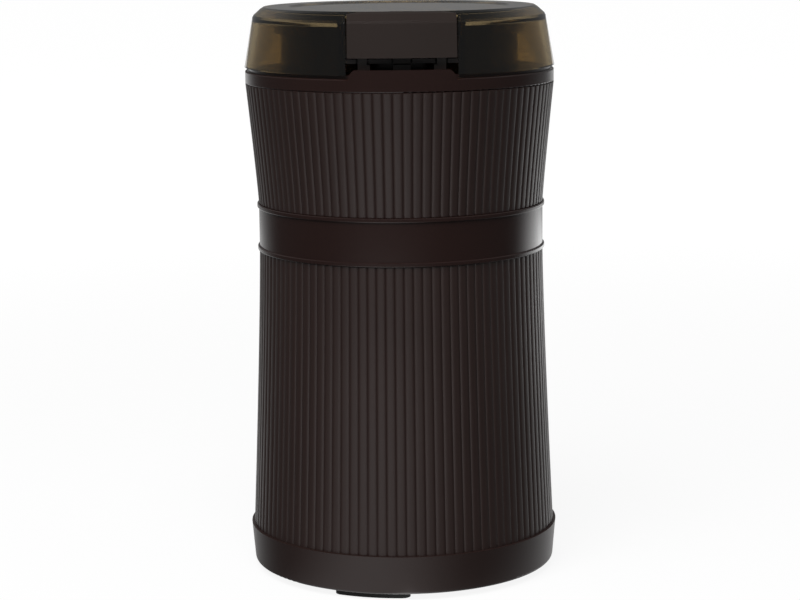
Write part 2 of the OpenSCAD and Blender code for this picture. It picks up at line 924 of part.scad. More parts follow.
module bowl_gasket() {
  color("#30302f")
    translate([0, 0, tub_z + tub_floor - gasket_t])
      tube(gasket_r, gasket_in_r, gasket_t);
}

module bowl_bushing() {
  color("#b9a36a")
    difference() {
      translate([0, 0, tub_z - nut_h - 0.8]) {
        cylinder(r = bush_hole_r - seat_fit, h = bowl_floor_z - tub_z + nut_h + 0.8);
        translate([0, 0, bowl_floor_z - tub_z + nut_h + 0.8])
          cylinder(r = bush_flange_r, h = bush_flange_t);
      }
      cylinder(r = bore_r, h = 2 * far);
    }
}

module bushing_nut() {
  color("#b9a36a")
    translate([0, 0, tub_z - nut_h])
      difference() {
        cylinder(r = nut_flats_r, h = nut_h, $fn = 6);
        translate([0, 0, -cut])
          cylinder(r = bush_hole_r - seat_fit + thread_fit, h = nut_h + 2 * cut);
      }
}

module shaft_seal() {
  color("#30302f")
    translate([0, 0, bowl_floor_z + bush_flange_t])
      tube(bush_hole_r, bore_r, seal_h);
}

module blade_hub() {
  color("#39322f")
    translate([0, 0, blade_z - hub_h])
      tube(bush_hole_r, shaft_r + thread_fit, hub_h);
}

// One strip of steel: flat at the hub, with two twisted and sharpened wings
module grinding_blade() {
  root = 6.5;
  bevel = 2.4;
  half = blade_w / 2;
  color("#d5d5d2")
    translate([0, 0, blade_z])
      difference() {
        intersection() {
          union() {
            translate([0, 0, blade_t / 2])
              cube([2 * root + 1, blade_w, blade_t], center = true);
            around(2)
              translate([root, 0, blade_t / 2])
                rotate([blade_twist, 0, 0])
                  rotate([90, 0, 90])
                    linear_extrude(blade_r)
                      polygon([[-half, -blade_t / 2], [half, -blade_t / 2],
                        [half, -blade_t / 2 + 0.2], [half - bevel, blade_t / 2],
                        [-half, blade_t / 2]]);
          }
          translate([0, 0, -blade_w])
            cylinder(r = blade_r, h = 2 * blade_w);
        }
        translate([0, 0, -cut])
          cylinder(r = shaft_r + thread_fit, h = blade_t + 2 * cut);
      }
}

module blade_cap() {
  dome = 2;
  color("#39322f")
    translate([0, 0, blade_z + blade_t])
      difference() {
        rotate_extrude() {
          cup = bush_hole_r - 1;
          square([cup - dome, cap_h]);
          square([cup, cap_h - dome]);
          translate([cup - dome, cap_h - dome])
            intersection() {
              circle(dome);
              square(dome);
            }
        }
        translate([0, 0, -cut])
          cylinder(r = shaft_r + thread_fit, h = cap_h / 2 + 2 * cut);
      }
}

/* ---------- motor, hanging from the tub ---------- */

motor_screw_r = 17.5;
motor_screw_turn = 45;
grommet_h = 3;
bracket_t = 3;
bracket_r = 21.5;
bearing_r = 6.4;
bearing_h = 6;
bearing_wall = 2.5;
bracket_z = tub_z - motor_post_h - grommet_h;      // top of the upper bracket's plate
upper_leg_h = 25;
stack_z = bracket_z - upper_leg_h - stack_h;
winding_over = 6;
winding_gap = 1;                // between the windings and the commutator
commutator_rise = 1;            // from the lower bracket's bar to the commutator
lower_leg_h = commutator_rise + commutator_h + winding_gap + winding_over;
lower_bar_t = 4;
bar_z = stack_z - lower_leg_h - lower_bar_t;       // underside of the lower bracket's bar
bolt_x = stack_w / 2 - 3.3;
leg_size = [7, 10];
fan_r = bolt_x - leg_size[0] / 2 - fan_gap;
field_in_r = armature_r + air_gap;
shoe_t = 2.5;
pole_w = 14.8;
window = [stack_w - 13, stack_d - 11];
coil_over = 7;
commutator_z = bar_z + lower_bar_t + commutator_rise;
fan_z = stack_z + stack_h + coil_over + 1.5;
washer_t = 0.8;
washer_r = 5.4;
shaft_z = bar_z - 5;

module motor_grommets() {
  color("#26211f")
    around(4, motor_screw_turn)
      translate([motor_screw_r, 0, bracket_z])
        tube(lug_r, screw_r + hole_fit, grommet_h);
}

module motor_screws() {
  color("silver")
    around(4, motor_screw_turn)
      translate([motor_screw_r, 0, bracket_z - bracket_t - head_h])
        screw(screw_r, head_r, head_h, bracket_t + grommet_h + motor_post_h - 2);
}

module bracket_legs(z, h) {
  for (side = [-1, 1])
    translate([side * bolt_x - leg_size[0] / 2, -leg_size[1] / 2, z])
      cube([leg_size[0], leg_size[1], h]);
}

module bolt_holes(z, r) {
  for (side = [-1, 1])
    translate([side * bolt_x, 0, z])
      cylinder(r = r, h = far);
}

module upper_bracket() {
  plate_z = bracket_z - bracket_t;
  boss_r = bearing_r + bearing_wall;
  color("#8d8f8e")
    difference() {
      union() {
        translate([0, 0, plate_z])
          cylinder(r = bracket_r, h = bracket_t);
        translate([-bolt_x, -leg_size[1] / 2, plate_z])
          cube([2 * bolt_x, leg_size[1], bracket_t]);
        bracket_legs(stack_z + stack_h, upper_leg_h);
        translate([0, 0, bracket_z - bearing_h])
          cylinder(r = boss_r, h = bearing_h + bearing_h / 2);
      }
      translate([0, 0, bracket_z - bearing_h / 2])
        cylinder(r = bearing_r + thread_fit, h = far);
      cylinder(r = shaft_r + 1, h = 2 * far);
      around(4, motor_screw_turn)
        translate([motor_screw_r, 0, plate_z - cut])
          cylinder(r = screw_r + hole_fit, h = bracket_t + 2 * cut);
      around(4)
        translate([motor_screw_r - 3, 0, plate_z - cut])
          cylinder(r = 2.6, h = bracket_t + 2 * cut);
      translate([0, 0, -cut])
        bolt_holes(stack_z + stack_h, screw_r + thread_fit);
    }
}

module bearing() {
  tube(bearing_r, bore_r, bearing_h);
}

module upper_bearing() {
  color("#a9824b")
    translate([0, 0, bracket_z - bearing_h / 2])
      bearing();
}

// Outline of one lamination: a frame with two pole shoes
module lamination() {
  reach = 60;     // half the angle that a pole shoe spans
  difference() {
    rounded_rectangle(stack_w, stack_d, 6);
    difference() {
      rounded_rectangle(window[0], window[1], 3);
      square([window[0] + cut, pole_w], center = true);
      intersection() {
        circle(field_in_r + shoe_t);
        for (a = [0, 180])
          rotate(a)
            polygon([[0, 0], far * [cos(reach), -sin(reach)], far * [cos(reach), sin(reach)]]);
      }
    }
    circle(field_in_r);
    for (side = [-1, 1])
      translate([side * bolt_x, 0])
        circle(screw_r + hole_fit);
  }
}

module stator_core() {
  color("#7f8384")
    translate([0, 0, stack_z])
      linear_extrude(stack_h)
        lamination();
}

// A racetrack of wire round each pole
module field_coils() {
  side = 5.8;
  inner = field_in_r + shoe_t + 0.8;
  thick = window[0] / 2 - inner - 0.6;
  hole = [stack_h + 1, pole_w + 0.8];
  color("#b5713a")
    for (a = [0, 180])
      rotate([0, 0, a])
        translate([inner, 0, stack_z + stack_h / 2])
          rotate([0, 90, 0])
            linear_extrude(thick)
              difference() {
                rounded_rectangle(stack_h + 2 * coil_over, hole[1] + 2 * side, 5);
                rounded_rectangle(hole[0], hole[1], 1);
              }
}

module stator_bolts() {
  length = lower_bar_t + lower_leg_h + stack_h + upper_leg_h - 6;
  color("silver")
    for (side = [-1, 1])
      translate([side * bolt_x, 0, bar_z - head_h])
        screw(screw_r, head_r, head_h, length);
}

brush_size = [5, 6.6];          // across the motor, and along the shaft
tube_t = 0.7;
brush_gap = 0.3;
brush_l = 10;
tube_y = commutator_r + 1.7;
tube_l = 15;
brush_z = commutator_z + commutator_h / 2 - 0.5;
tube_half_h = brush_size[1] / 2 + tube_t;

module lower_bracket() {
  boss_r = bearing_r + bearing_wall;
  saddle = brush_size[0] + 2 * tube_t;
  cheek = 1.4;
  color("#5b3a26")
    difference() {
      union() {
        translate([-bolt_x, -leg_size[1] / 2, bar_z])
          cube([2 * bolt_x, leg_size[1], lower_bar_t]);
        bracket_legs(bar_z, lower_leg_h + lower_bar_t);
        translate([0, 0, bar_z - bearing_h / 2])
          cylinder(r = boss_r, h = bearing_h / 2 + lower_bar_t);
        for (side = [0, 1])
          mirror([0, side, 0]) {
            translate([-saddle / 2 - cheek, 0, bar_z])
              cube([saddle + 2 * cheek, tube_y + tube_l, lower_bar_t]);
            translate([-saddle / 2 - cheek, tube_y + 1, bar_z])
              cube([saddle + 2 * cheek, tube_l - 1, brush_z - bar_z]);
          }
      }
      // Seats of the brush tubes
      for (side = [0, 1])
        mirror([0, side, 0])
          translate([-saddle / 2 - thread_fit, tube_y - cut, brush_z - tube_half_h])
            cube([saddle + 2 * thread_fit, tube_l + 2 * cut, 2 * tube_half_h]);
      translate([0, 0, bar_z - bearing_h / 2 - cut])
        cylinder(r = bearing_r + thread_fit, h = bearing_h + cut);
      cylinder(r = shaft_r + 1, h = bar_z + far);
      translate([0, 0, -cut])
        bolt_holes(bar_z, screw_r + hole_fit);
    }
}

module lower_bearing() {
  color("#a9824b")
    translate([0, 0, bar_z - bearing_h / 2])
      bearing();
}

// Copies the children for the two brushes, lying along +Y and -Y from the axis
module each_brush() {
  for (a = [0, 180])
    rotate([0, 0, a])
      translate([0, 0, brush_z])
        children();
}

module brush_block(y, length, w, h) {
  translate([-w / 2, y, -h / 2])
    cube([w, length, h]);
}

module brush_tubes() {
  color("#b08d3e")
    each_brush()
      difference() {
        brush_block(tube_y, tube_l, brush_size[0] + 2 * tube_t, brush_size[1] + 2 * tube_t);
        brush_block(tube_y - cut, tube_l + 2 * cut, brush_size[0], brush_size[1]);
      }
}

module carbon_brushes() {
  color("#3a3a3c")
    each_brush()
      difference() {
        brush_block(0, commutator_r + brush_l, brush_size[0] - 0.1, brush_size[1] - 0.1);
        cylinder(r = commutator_r + brush_gap, h = far, center = true);
      }
}

module brush_springs() {
  start = commutator_r + brush_l;
  color("#9d9f9f")
    each_brush()
      translate([0, start, 0])
        rotate([-90, 0, 0])
          coil(1.7, 0.3, tube_y + tube_l - start, 4);
}

module brush_caps() {
  color("#5b3a26")
    each_brush()
      brush_block(tube_y + tube_l, 1.2, brush_size[0] + 2 * tube_t, brush_size[1] + 2 * tube_t);
}

/* ---------- rotor ---------- */

module motor_shaft() {
  chamfer = 0.5;
  top = blade_z + blade_t + cap_h / 2;
  color("#c4c6c8")
    translate([0, 0, shaft_z]) {
      cylinder(r1 = shaft_r - chamfer, r2 = shaft_r, h = chamfer);
      translate([0, 0, chamfer])
        cylinder(r = shaft_r, h = top - shaft_z - chamfer);
    }
}

slot_r = 1.9;
slot_mid_r = armature_r - 3.8;
module armature_core() {
  color("#7f8384")
    translate([0, 0, stack_z])
      linear_extrude(stack_h)
        difference() {
          circle(armature_r);
          circle(shaft_r + thread_fit);
          for (i = [0:slot_count - 1])
            rotate(i * 360 / slot_count)
              translate([slot_mid_r, 0]) {
                circle(slot_r);
                translate([0, -0.6])
                  square([far, 1.2]);
              }
        }
}

module armature_windings() {
  color("#c07a3c")
    difference() {
      union() {
        for (z = [stack_z - winding_over, stack_z + stack_h])
          translate([0, 0, z])
            rotate_extrude()
              translate([(armature_r + shaft_r) / 2, winding_over / 2])
                rounded_rectangle(armature_r - shaft_r - 4, winding_over, 2);
        for (i = [0:slot_count - 1])
          rotate([0, 0, i * 360 / slot_count])
            translate([slot_mid_r, 0, stack_z - cut])
              cylinder(r = slot_r - seat_fit, h = stack_h + 2 * cut);
      }
      // Grooves between the coils' end turns
      for (z = [stack_z - winding_over, stack_z + stack_h + winding_over])
        for (i = [0:slot_count - 1])
          rotate([0, 0, (i + 0.5) * 360 / slot_count])
            translate([shaft_r, 0, z])
              rotate([0, 90, 0])
                cylinder(r = 0.8, h = armature_r);
    }
}

module commutator() {
  bars = 2 * slot_count;
  riser = 1.5;
  color("#c58a4a")
    translate([0, 0, commutator_z])
      difference() {
        union() {
          cylinder(r = commutator_r, h = commutator_h);
          translate([0, 0, commutator_h - riser])
            cylinder(r = commutator_r + 1, h = riser);
        }
        translate([0, 0, -cut])
          cylinder(r = shaft_r + thread_fit, h = commutator_h + 2 * cut);
        for (i = [0:bars - 1])
          rotate([0, 0, i * 360 / bars])
            translate([commutator_r - 0.6, -0.2, -cut])
              cube([far, 0.4, commutator_h + 2 * cut]);
      }
}

module cooling_fan() {
  disc_t = 1.2;
  hub_r = 6;
  sweep = 12;     // radius that a blade is curved to
  color("#2f3436")
    translate([0, 0, fan_z])
      difference() {
        union() {
          cylinder(r = fan_r, h = disc_t);
          cylinder(r = hub_r, h = bracket_z - bearing_h - 0.2 - washer_t - fan_z);
          linear_extrude(disc_t + fan_h)
            intersection() {
              difference() {
                circle(fan_r);
                circle(hub_r + 2);
              }
              for (i = [0:fan_blades - 1])
                rotate(i * 360 / fan_blades)
                  translate([fan_r - sweep * 0.55, sweep * 0.85])
                    difference() {
                      circle(sweep);
                      circle(sweep - 1);
                      translate([0, -sweep])
                        square([2 * far, 2 * far], center = false);
                      translate([-far, 0])
                        square(2 * far);
                    }
            }
        }
        translate([0, 0, -cut])
          cylinder(r = shaft_r + thread_fit, h = far);
      }
}

module thrust_washers() {
  lower_z0 = commutator_z - washer_t;
  upper_z0 = bracket_z - bearing_h - 0.2 - washer_t;
  color("#d9d5c9")
    for (z = [lower_z0, upper_z0])
      translate([0, 0, z])
        tube(washer_r, shaft_r + thread_fit, washer_t);
}

/* ---------- lid, press tab and its frame ---------- */

notch_x = tab_w / 2 + tab_side_gap;     // half the notch's width
tab_back = -rim_r + 0.9;                // back edge of the tab's top
notch_back = tab_back + tab_side_gap;
return_t = 1.8;                         // wall of the notch's sides
frame_gap = 0.9;                        // between the neck and the button frame
frame_y = -neck_r - frame_gap;          // inner face of the button frame
frame_t = 1.5;
frame_z = 3.1;                          // underside of the frame, from the ledge
shelf_t = 1.2;
shelf_y = frame_y - frame_t - 3.1;      // front of the frame's shelf
tab_cap = 3.5;
tab_z = tongue_h + tab_travel + tab_floor_gap;
leg_x = 11;
leg_w = 2.6;
leg_t = 2.3;
leg_back = frame_y - frame_t - 1.4;
leg_front = leg_back - leg_t;
leg_z = 0.7;
hook = 0.8;
striker_gap = 0.3;

// Outside of the lid, from the ledge up; grow moves it outwards
function lid_outline(grow) = [
  [lid_r + grow, 0],
  [shoulder_r + grow, lid_h - shoulder_h],
  [shoulder_r - 0.4 + grow, lid_h - shoulder_h + 0.75],
  [rim_r + 0.9 + grow, lid_h - 0.55],
  [rim_r + grow, lid_h]
];

module lid_outside() {
  rotate_extrude()
    polygon(concat([[0, 0]], lid_outline(0), [[0, lid_h]]));
}

// Space under the lid's top plate, with a fillet round the plate
module lid_inside(gap) {
  plate_z = lid_h - lid_plate;
  fillet = 1.7;
  foot = lid_r - lid_wall - gap;
  brow = shoulder_r - lid_wall - gap;
  rotate_extrude()
    polygon([[0, -cut], [foot, -cut], [foot, 0], [brow, plate_z - fillet], [brow - fillet, plate_z],
      [0, plate_z]]);
}

module lid_cover() {
  plate_z = lid_h - lid_plate;
  ring_r = neck_r + slide_fit;
  color([0.36, 0.24, 0.11, 0.55])
    translate([0, 0, ledge_z])
      difference() {
        union() {
          difference() {
            lid_outside();
            lid_inside(0);
          }
          // Ring that finds the neck, open at the tab
          difference() {
            translate([0, 0, plate_z - 5.4])
              tube(ring_r + 1.5, ring_r, 5.4 + cut / 2);
            translate([-notch_x, -far, -cut])
              cube([2 * notch_x, far, far]);
          }
          // Sides of the notch
          intersection() {
            lid_outside();
            for (side = [0, 1])
              mirror([side, 0, 0])
                translate([notch_x, frame_y - far, 0])
                  cube([return_t, far, plate_z + cut / 2]);
          }
        }
        translate([-notch_x, notch_back - far, -cut])
          cube([2 * notch_x, far, lid_h + 2 * cut]);
        translate([0, 0, lid_h - recess_depth])
          cylinder(r = recess_r, h = far);
        // Thumb scallop in the plate's edge
        translate([0, notch_back + 1, lid_h + 4.8])
          rotate([90, 0, 0])
            cylinder(r = 5.8, h = far);
      }
}

// Slot for one leg of the tab, on the +X side
module leg_slot(z, h) {
  translate([leg_x - leg_w / 2 - hook - slide_fit, leg_front - slide_fit, z])
    cube([leg_w + hook + 2 * slide_fit, leg_back - leg_front + 2 * slide_fit, h]);
}

module button_frame() {
  plate_z = lid_h - lid_plate;
  rail_top = plate_z - tab_cap + lid_plate - tab_travel - 0.4;
  color("#1f1b19")
    translate([0, 0, ledge_z])
      difference() {
        union() {
          translate([-notch_x, frame_y - frame_t, frame_z])
            cube([2 * notch_x, frame_t, plate_z - frame_z]);
          translate([-notch_x, shelf_y, frame_z])
            cube([2 * notch_x, frame_y - shelf_y, shelf_t]);
          for (side = [0, 1])
            mirror([side, 0, 0])
              translate([notch_x - frame_t, frame_y - frame_t - 1.9, frame_z])
                cube([frame_t, 2, rail_top - frame_z]);
          for (x = [-1, 1])
            translate([x * spring_x, spring_y, frame_z])
              cylinder(r = spring_in_r - 0.3, h = shelf_t + 2);
        }
        for (side = [0, 1])
          mirror([side, 0, 0])
            translate([0, 0, frame_z - cut])
              shelf_leg_slot();
        // Its corners clear the lid's fillet
        difference() {
          translate([-far, notch_back, frame_z])
            cube(2 * far);
          lid_inside(seat_fit);
        }
        // Slot for the striker
        translate([-plunger_w / 2 - slide_fit, shelf_y - cut, frame_z - cut])
          cube([plunger_w + 2 * slide_fit, frame_y - frame_t - shelf_y + cut, shelf_t + 2 * cut]);
      }
}

// The leg slot of the shelf, open to the front
module shelf_leg_slot() {
  translate([leg_x - leg_w / 2 - slide_fit, shelf_y - cut, 0])
    cube([leg_w + 2 * slide_fit, leg_back - shelf_y + slide_fit + cut, shelf_t + 2 * cut]);
}

spring_x = 5.7;
spring_y = frame_y - frame_t - 1.6;
spring_wire_r = 0.25;
spring_out_r = 1.45;
spring_in_r = spring_out_r - 2 * spring_wire_r;
spring_z = frame_z + shelf_t;

module tab_springs() {
  color("#a5a7a7")
    for (x = [-1, 1])
      translate([x * spring_x, spring_y, ledge_z + spring_z])
        coil(spring_out_r - spring_wire_r, spring_wire_r, lid_h - tab_cap - spring_z, 5);
}

module press_tab() {
  shift = tab_face_r - lid_r;
  outline = lid_outline(shift);
  inline = lid_outline(shift - tab_wall);
  half = tab_w / 2;
  cap_z = lid_h - tab_cap;
  color("#34292a")
    translate([0, 0, ledge_z]) {
      // Curved front, bevel and cap
      intersection() {
        translate([0, shift, 0])
          difference() {
            rotate_extrude()
              polygon(concat([[0, 0]], outline, [[0, lid_h]]));
            rotate_extrude()
              polygon([[0, -cut], [inline[0][0], -cut], [inline[0][0], 0],
                [inline[0][0] + (inline[1][0] - inline[0][0]) * cap_z / inline[1][1], cap_z],
                [0, cap_z]]);
          }
        translate([-half, tab_back - far, tab_z])
          cube([tab_w, far, far]);
      }
      // Striker over the plunger
      translate([-plunger_w / 2, plunger_y - plunger_d / 2, plunger_top + striker_gap])
        cube([plunger_w, striker_d, cap_z + 1 - plunger_top - striker_gap]);
      // Hooked legs
      for (side = [0, 1])
        mirror([side, 0, 0]) {
          translate([leg_x - leg_w / 2, leg_front, leg_z])
            cube([leg_w, leg_back - leg_front, cap_z + 1 - leg_z]);
          translate([leg_x - leg_w / 2 - hook, leg_front, leg_z])
            cube([leg_w, leg_back - leg_front, frame_z - 0.3 - leg_z]);
        }
    }
}

/* ---------- plunger and microswitch ---------- */

plunger_d = 3.4;
plunger_y = -neck_r - frame_gap - 0.5 - plunger_d / 2;
plunger_top = 2.7;                      // from the ledge
striker_d = 1.8;
guide_t = 2;
guide_drop = 20.3;
guide_z = ledge_z - flange_t - guide_drop;      // shelf that the plunger's spring stands on
plunger_spring_h = 10;
switch_plate_t = 2.2;
switch_y = -bracket_r - 0.6 - switch_plate_t;   // back of the microswitch
switch_drop = 20.5;
switch_z = tub_z - switch_drop;
lever_t = 0.5;
lever_w = 3.2;
lever_y = switch_y - switch_t / 2;
pivot_x = -8;
pivot_z = switch_z + switch_h + 1.3;
pivot_r = 0.5;
press_x = 7;
lever_arm = press_x - pivot_x;
lever_tilt = atan(tab_travel / lever_arm);
nub_h = 0.7;
nub_z = pivot_z + tab_travel + lever_t / 2 + 0.35;
foot_z = nub_z + nub_h;
foot_t = 3;

// Plate under the tub that carries the microswitch
module switch_plate() {
  plate_w = switch_w + 0.4;
  translate([-plate_w / 2, switch_y, switch_z - 0.5])
    cube([plate_w, switch_plate_t, tub_z - switch_z + 1.5]);
  for (side = [0, 1])
    mirror([side, 0, 0])
      translate([plate_w / 2 - 1.6, switch_y, tub_z - 5])
        cube([1.6, switch_plate_t + 3, 6]);
}

// Shelf on the tub's wall that guides the rod
module plunger_guide() {
  w = 8;
  front = plunger_y - 2.4;
  translate([-w / 2, front, guide_z])
    cube([w, -neck_r + neck_wall / 2 - front, guide_t]);
}

module switch_screw_hole(r) {
  translate([switch_screw_x, switch_y - switch_t - cut, switch_screw_z])
    rotate([-90, 0, 0])
      cylinder(r = r, h = switch_t + switch_plate_t + 2 * cut);
}

switch_screw_x = 4.75;
switch_screw_z = switch_z + 2.9;

module switch_body() {
  button_x = pivot_x + button_arm;
  color("#3b3e40")
    difference() {
      union() {
        translate([-switch_w / 2, switch_y - switch_t, switch_z])
          cube([switch_w, switch_t, switch_h]);
        // Ears of the lever
        for (y = [lever_y - lever_w / 2 - 0.9, lever_y + lever_w / 2 + 0.2])
          translate([pivot_x - 1.1, y, switch_z + switch_h - cut])
            cube([2.2, 0.7, cut + 2.4]);
        // Terminals
        for (x = [-7.5, 0, 7.5])
          translate([x - 1.6, lever_y - 0.25, switch_z - 4])
            cube([3.2, 0.5, 5]);
      }
      for (side = [0, 1])
        mirror([side, 0, 0])
          switch_screw_hole(small_screw_r - 0.2 + hole_fit);
      translate([pivot_x, lever_y, pivot_z])
        rotate([90, 0, 0])
          cylinder(r = pivot_r + running_fit, h = far, center = true);
      translate([button_x, lever_y, switch_z + switch_h - 3.6])
        cylinder(r = button_r + 0.3, h = far);
    }
}

module switch_screws() {
  color("silver")
    for (side = [-1, 1])
      translate([side * switch_screw_x, switch_y - switch_t - 1, switch_screw_z])
        rotate([-90, 0, 0])
          screw(small_screw_r - 0.2, small_head_r - 0.2, 1, switch_t + switch_plate_t - 0.2);
}

// Spring-steel lever, tilted up at rest
module switch_lever() {
  beyond = 1.5;
  color("#c9c9c6")
    translate([pivot_x, lever_y, pivot_z])
      rotate([0, -lever_tilt, 0]) {
        translate([0, -lever_w / 2, -lever_t / 2])
          cube([lever_arm + beyond, lever_w, lever_t]);
        rotate([90, 0, 0]) {
          cylinder(r = 0.85, h = lever_w, center = true);
          cylinder(r = pivot_r, h = lever_w + 1.8, center = true);
        }
      }
}

button_arm = 6;
button_r = 0.9;
button_travel = tab_travel * button_arm / lever_arm;
module switch_button() {
  top = pivot_z + button_travel - lever_t / 2 - 0.35;
  height = 3.6;
  color("#b5473a")
    translate([pivot_x + button_arm, lever_y, top - height])
      cylinder(r = button_r, h = height);
}

module plunger() {
  head_z = guide_z + guide_t + plunger_spring_h;
  front = plunger_y - plunger_d / 2;
  arm_w = 4.4;
  stop_t = 2.5;
  color("#3a3432")
    difference() {
      union() {
        translate([-plunger_w / 2, front, head_z])
          cube([plunger_w, plunger_d, ledge_z + plunger_top - head_z]);
        // Ears that stop under the collar's flange
        translate([-plunger_w / 2 - 1.1, front, ledge_z - flange_t - 0.3 - stop_t])
          cube([plunger_w + 2.2, plunger_d, stop_t]);
        translate([0, plunger_y, foot_z])
          cylinder(r = rod_r, h = head_z - foot_z + cut);
        translate([-arm_w / 2, plunger_y - rod_r + 0.1, foot_z])
          cube([arm_w, lever_y + 1.5 - plunger_y + rod_r - 0.1, foot_t]);
        translate([-arm_w / 2, lever_y - 1.5, foot_z])
          cube([press_x + 1.5 + arm_w / 2, 3, foot_t]);
        translate([press_x, lever_y, nub_z])
          cylinder(r = 1.2, h = nub_h + cut);
      }
      // Hollow back of the head
      translate([-plunger_w / 2 + 1.2, plunger_y - plunger_d / 2 + 1.4, head_z + 2])
        cube([plunger_w - 2.4, plunger_d, ledge_z - flange_t - 4 - head_z]);
    }
}

module plunger_spring() {
  wire_r = 0.3;
  color("#a5a7a7")
    translate([0, plunger_y, guide_z + guide_t])
      coil(rod_r + 0.35 + wire_r, wire_r, plunger_spring_h, 5);
}

/* ---------- what is drawn ---------- */

rubber_feet();
base_cover();
base_screws();
lower_housing();
waist_band();
upper_housing();
housing_screws();
top_collar();
collar_screws();
grinding_bowl();
bowl_gasket();
bowl_bushing();
bushing_nut();
shaft_seal();
motor_grommets();
motor_screws();
upper_bracket();
upper_bearing();
stator_core();
field_coils();
stator_bolts();
lower_bracket();
lower_bearing();
brush_tubes();
carbon_brushes();
brush_springs();
brush_caps();
motor_shaft();
armature_core();
armature_windings();
commutator();
cooling_fan();
thrust_washers();
blade_hub();
grinding_blade();
blade_cap();
switch_body();
switch_screws();
switch_lever();
switch_button();
plunger();
plunger_spring();
suppressor();
terminal_block();
cord_gland();
cord_clamp();
clamp_screws();
lid_cover();
button_frame();
press_tab();
tab_springs();
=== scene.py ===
import math

import bmesh
import bpy
from mathutils import Matrix, Vector


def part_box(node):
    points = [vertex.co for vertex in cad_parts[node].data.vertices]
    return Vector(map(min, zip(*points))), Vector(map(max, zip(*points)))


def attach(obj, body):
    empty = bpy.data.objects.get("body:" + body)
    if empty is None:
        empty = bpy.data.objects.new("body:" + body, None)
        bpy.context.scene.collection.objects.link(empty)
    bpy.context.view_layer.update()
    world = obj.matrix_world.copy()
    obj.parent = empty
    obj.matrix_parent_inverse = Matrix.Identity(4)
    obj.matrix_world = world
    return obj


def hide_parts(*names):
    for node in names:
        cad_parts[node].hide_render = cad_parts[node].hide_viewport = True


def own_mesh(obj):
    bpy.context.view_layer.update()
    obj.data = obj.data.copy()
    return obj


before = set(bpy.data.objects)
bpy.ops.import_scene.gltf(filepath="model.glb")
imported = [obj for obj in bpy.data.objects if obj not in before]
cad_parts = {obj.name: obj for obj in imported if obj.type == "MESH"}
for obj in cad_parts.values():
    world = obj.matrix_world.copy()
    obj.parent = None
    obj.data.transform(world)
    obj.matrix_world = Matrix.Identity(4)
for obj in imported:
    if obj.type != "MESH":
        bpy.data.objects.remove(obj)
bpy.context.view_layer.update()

mm = 0.001

# ---------------------------------------------------------------- dimensions, in millimetres


def low(node):
    """Lowest corner of a node, in millimetres."""
    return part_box(node)[0] / mm


def high(node):
    """Highest corner of a node, in millimetres."""
    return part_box(node)[1] / mm


seam_z = low("lower_housing").z             # seam between base and lower shell
band_low = low("waist_band").z
band_high = high("waist_band").z
shell_split = (band_low + band_high) / 2    # the two shells meet behind the band
collar_low = high("upper_housing").z
ledge_z = low("lid_cover").z
lid_top = high("lid_cover").z

reeds = 100
groove_depth = 0.55                         # of the solid shells, which sets their inside
reed_depth = 0.32                           # of the softly crowned reeds
foot_round = 0.6                            # a reed rounds off over this length at the base
hidden_round = 0.12                         # and over this length under the band and the collar
waist_r = 42.15
foot_flare = 3.45
foot_bend = 1.25
head_flare = 3.3
head_bend = 1.1
shell_wall = 2.1
spigot_r = 40.85                            # plain part of both shells behind the band
waist_bore_r = 39.5
edge_cut = 0.2                              # chamfer where the shells meet
post_r = 3.9
post_bore_r = 1.3
post_ring_r = 34.5
post_angles = (-43.5, 76.5, 196.5)
post_foot = 7.0
post_top = 26.0
post_chamfer = 0.3
post_web_r = 42.4                           # radius that the web of a post reaches
post_web_foot = 17.6
web_half = 1.0                              # half the thickness of a web
lug_ring_r = 35.4
lug_angles = (90, 210, 330)
lug_bore_r = 1.6
lug_web_r = waist_bore_r + 0.6
lug_h = 3.0
lap_h = 4.0                                 # the upper shell laps into the lower one
lap_low = shell_split - lap_h
lap_bore_r = 38.0
lap_r = 39.4
upper_bore_foot = shell_split + 1.5
upper_post_top = band_high + 3.05
collar_lug_ring_r = 37.9
collar_lug_r = 2.6
collar_lug_bore_r = 1.1
collar_lug_web_r = 41.5
collar_lug_angles = (45, 135, 225, 315)
collar_lug_z = band_high + 11.8

lid_h = lid_top - ledge_z
lid_r = high("lid_cover").x
shoulder_h = 3.1
shoulder_r = lid_r - 2.5
rim_r = lid_r - 5.8
bevel_foot = (0.4, 0.75)                    # in from the shoulder and up from it
bevel_head = (0.9, 0.55)                    # out from the rim and down from it
lid_wall = 2.0
lid_plate = 2.0
brow_cut = 2.4                              # chamfer inside the shoulder
recess_r = 32.0
recess_depth = 0.35
recess_slope = (0.6, 0.4)                   # of its edge, out from recess_r and in from it
neck_ring_r = 35.35
neck_ring_t = 1.5
neck_ring_h = 5.4
neck_ring_end = -30.0                       # the ring stops at the notch
tab_x = high("press_tab").x
notch_x = tab_x + 0.4
notch_y = -38.3
return_t = 1.8                              # thickness of the walls beside the notch
return_y = -35.8
scallop_r = 5.8                             # hollow for a finger behind the tab
scallop_rise = 4.8

tab_low = 4.8
tab_back = -38.9
tab_face_r = 70.0
tab_wall = 1.6
tab_cap = 3.5
striker_x = 2.45
striker_y = (-39.7, -37.9)
striker_low = 3.0
leg_x = (9.7, 12.3)
leg_y = (-41.0, -38.7)
leg_low = 0.7
hook_x = (8.9, 11.5)
hook_top = 2.8

spring_turns = 5
spring_slack = 0.06                         # left over a spring, so that it never cuts in
tab_spring_places = ((-5.7, -38.9), (5.7, -38.9))
tab_spring_r, tab_spring_wire_r = 1.2, 0.25
plunger_spring_place = (0.0, -38.0)
plunger_spring_r, plunger_spring_wire_r = 2.05, 0.3

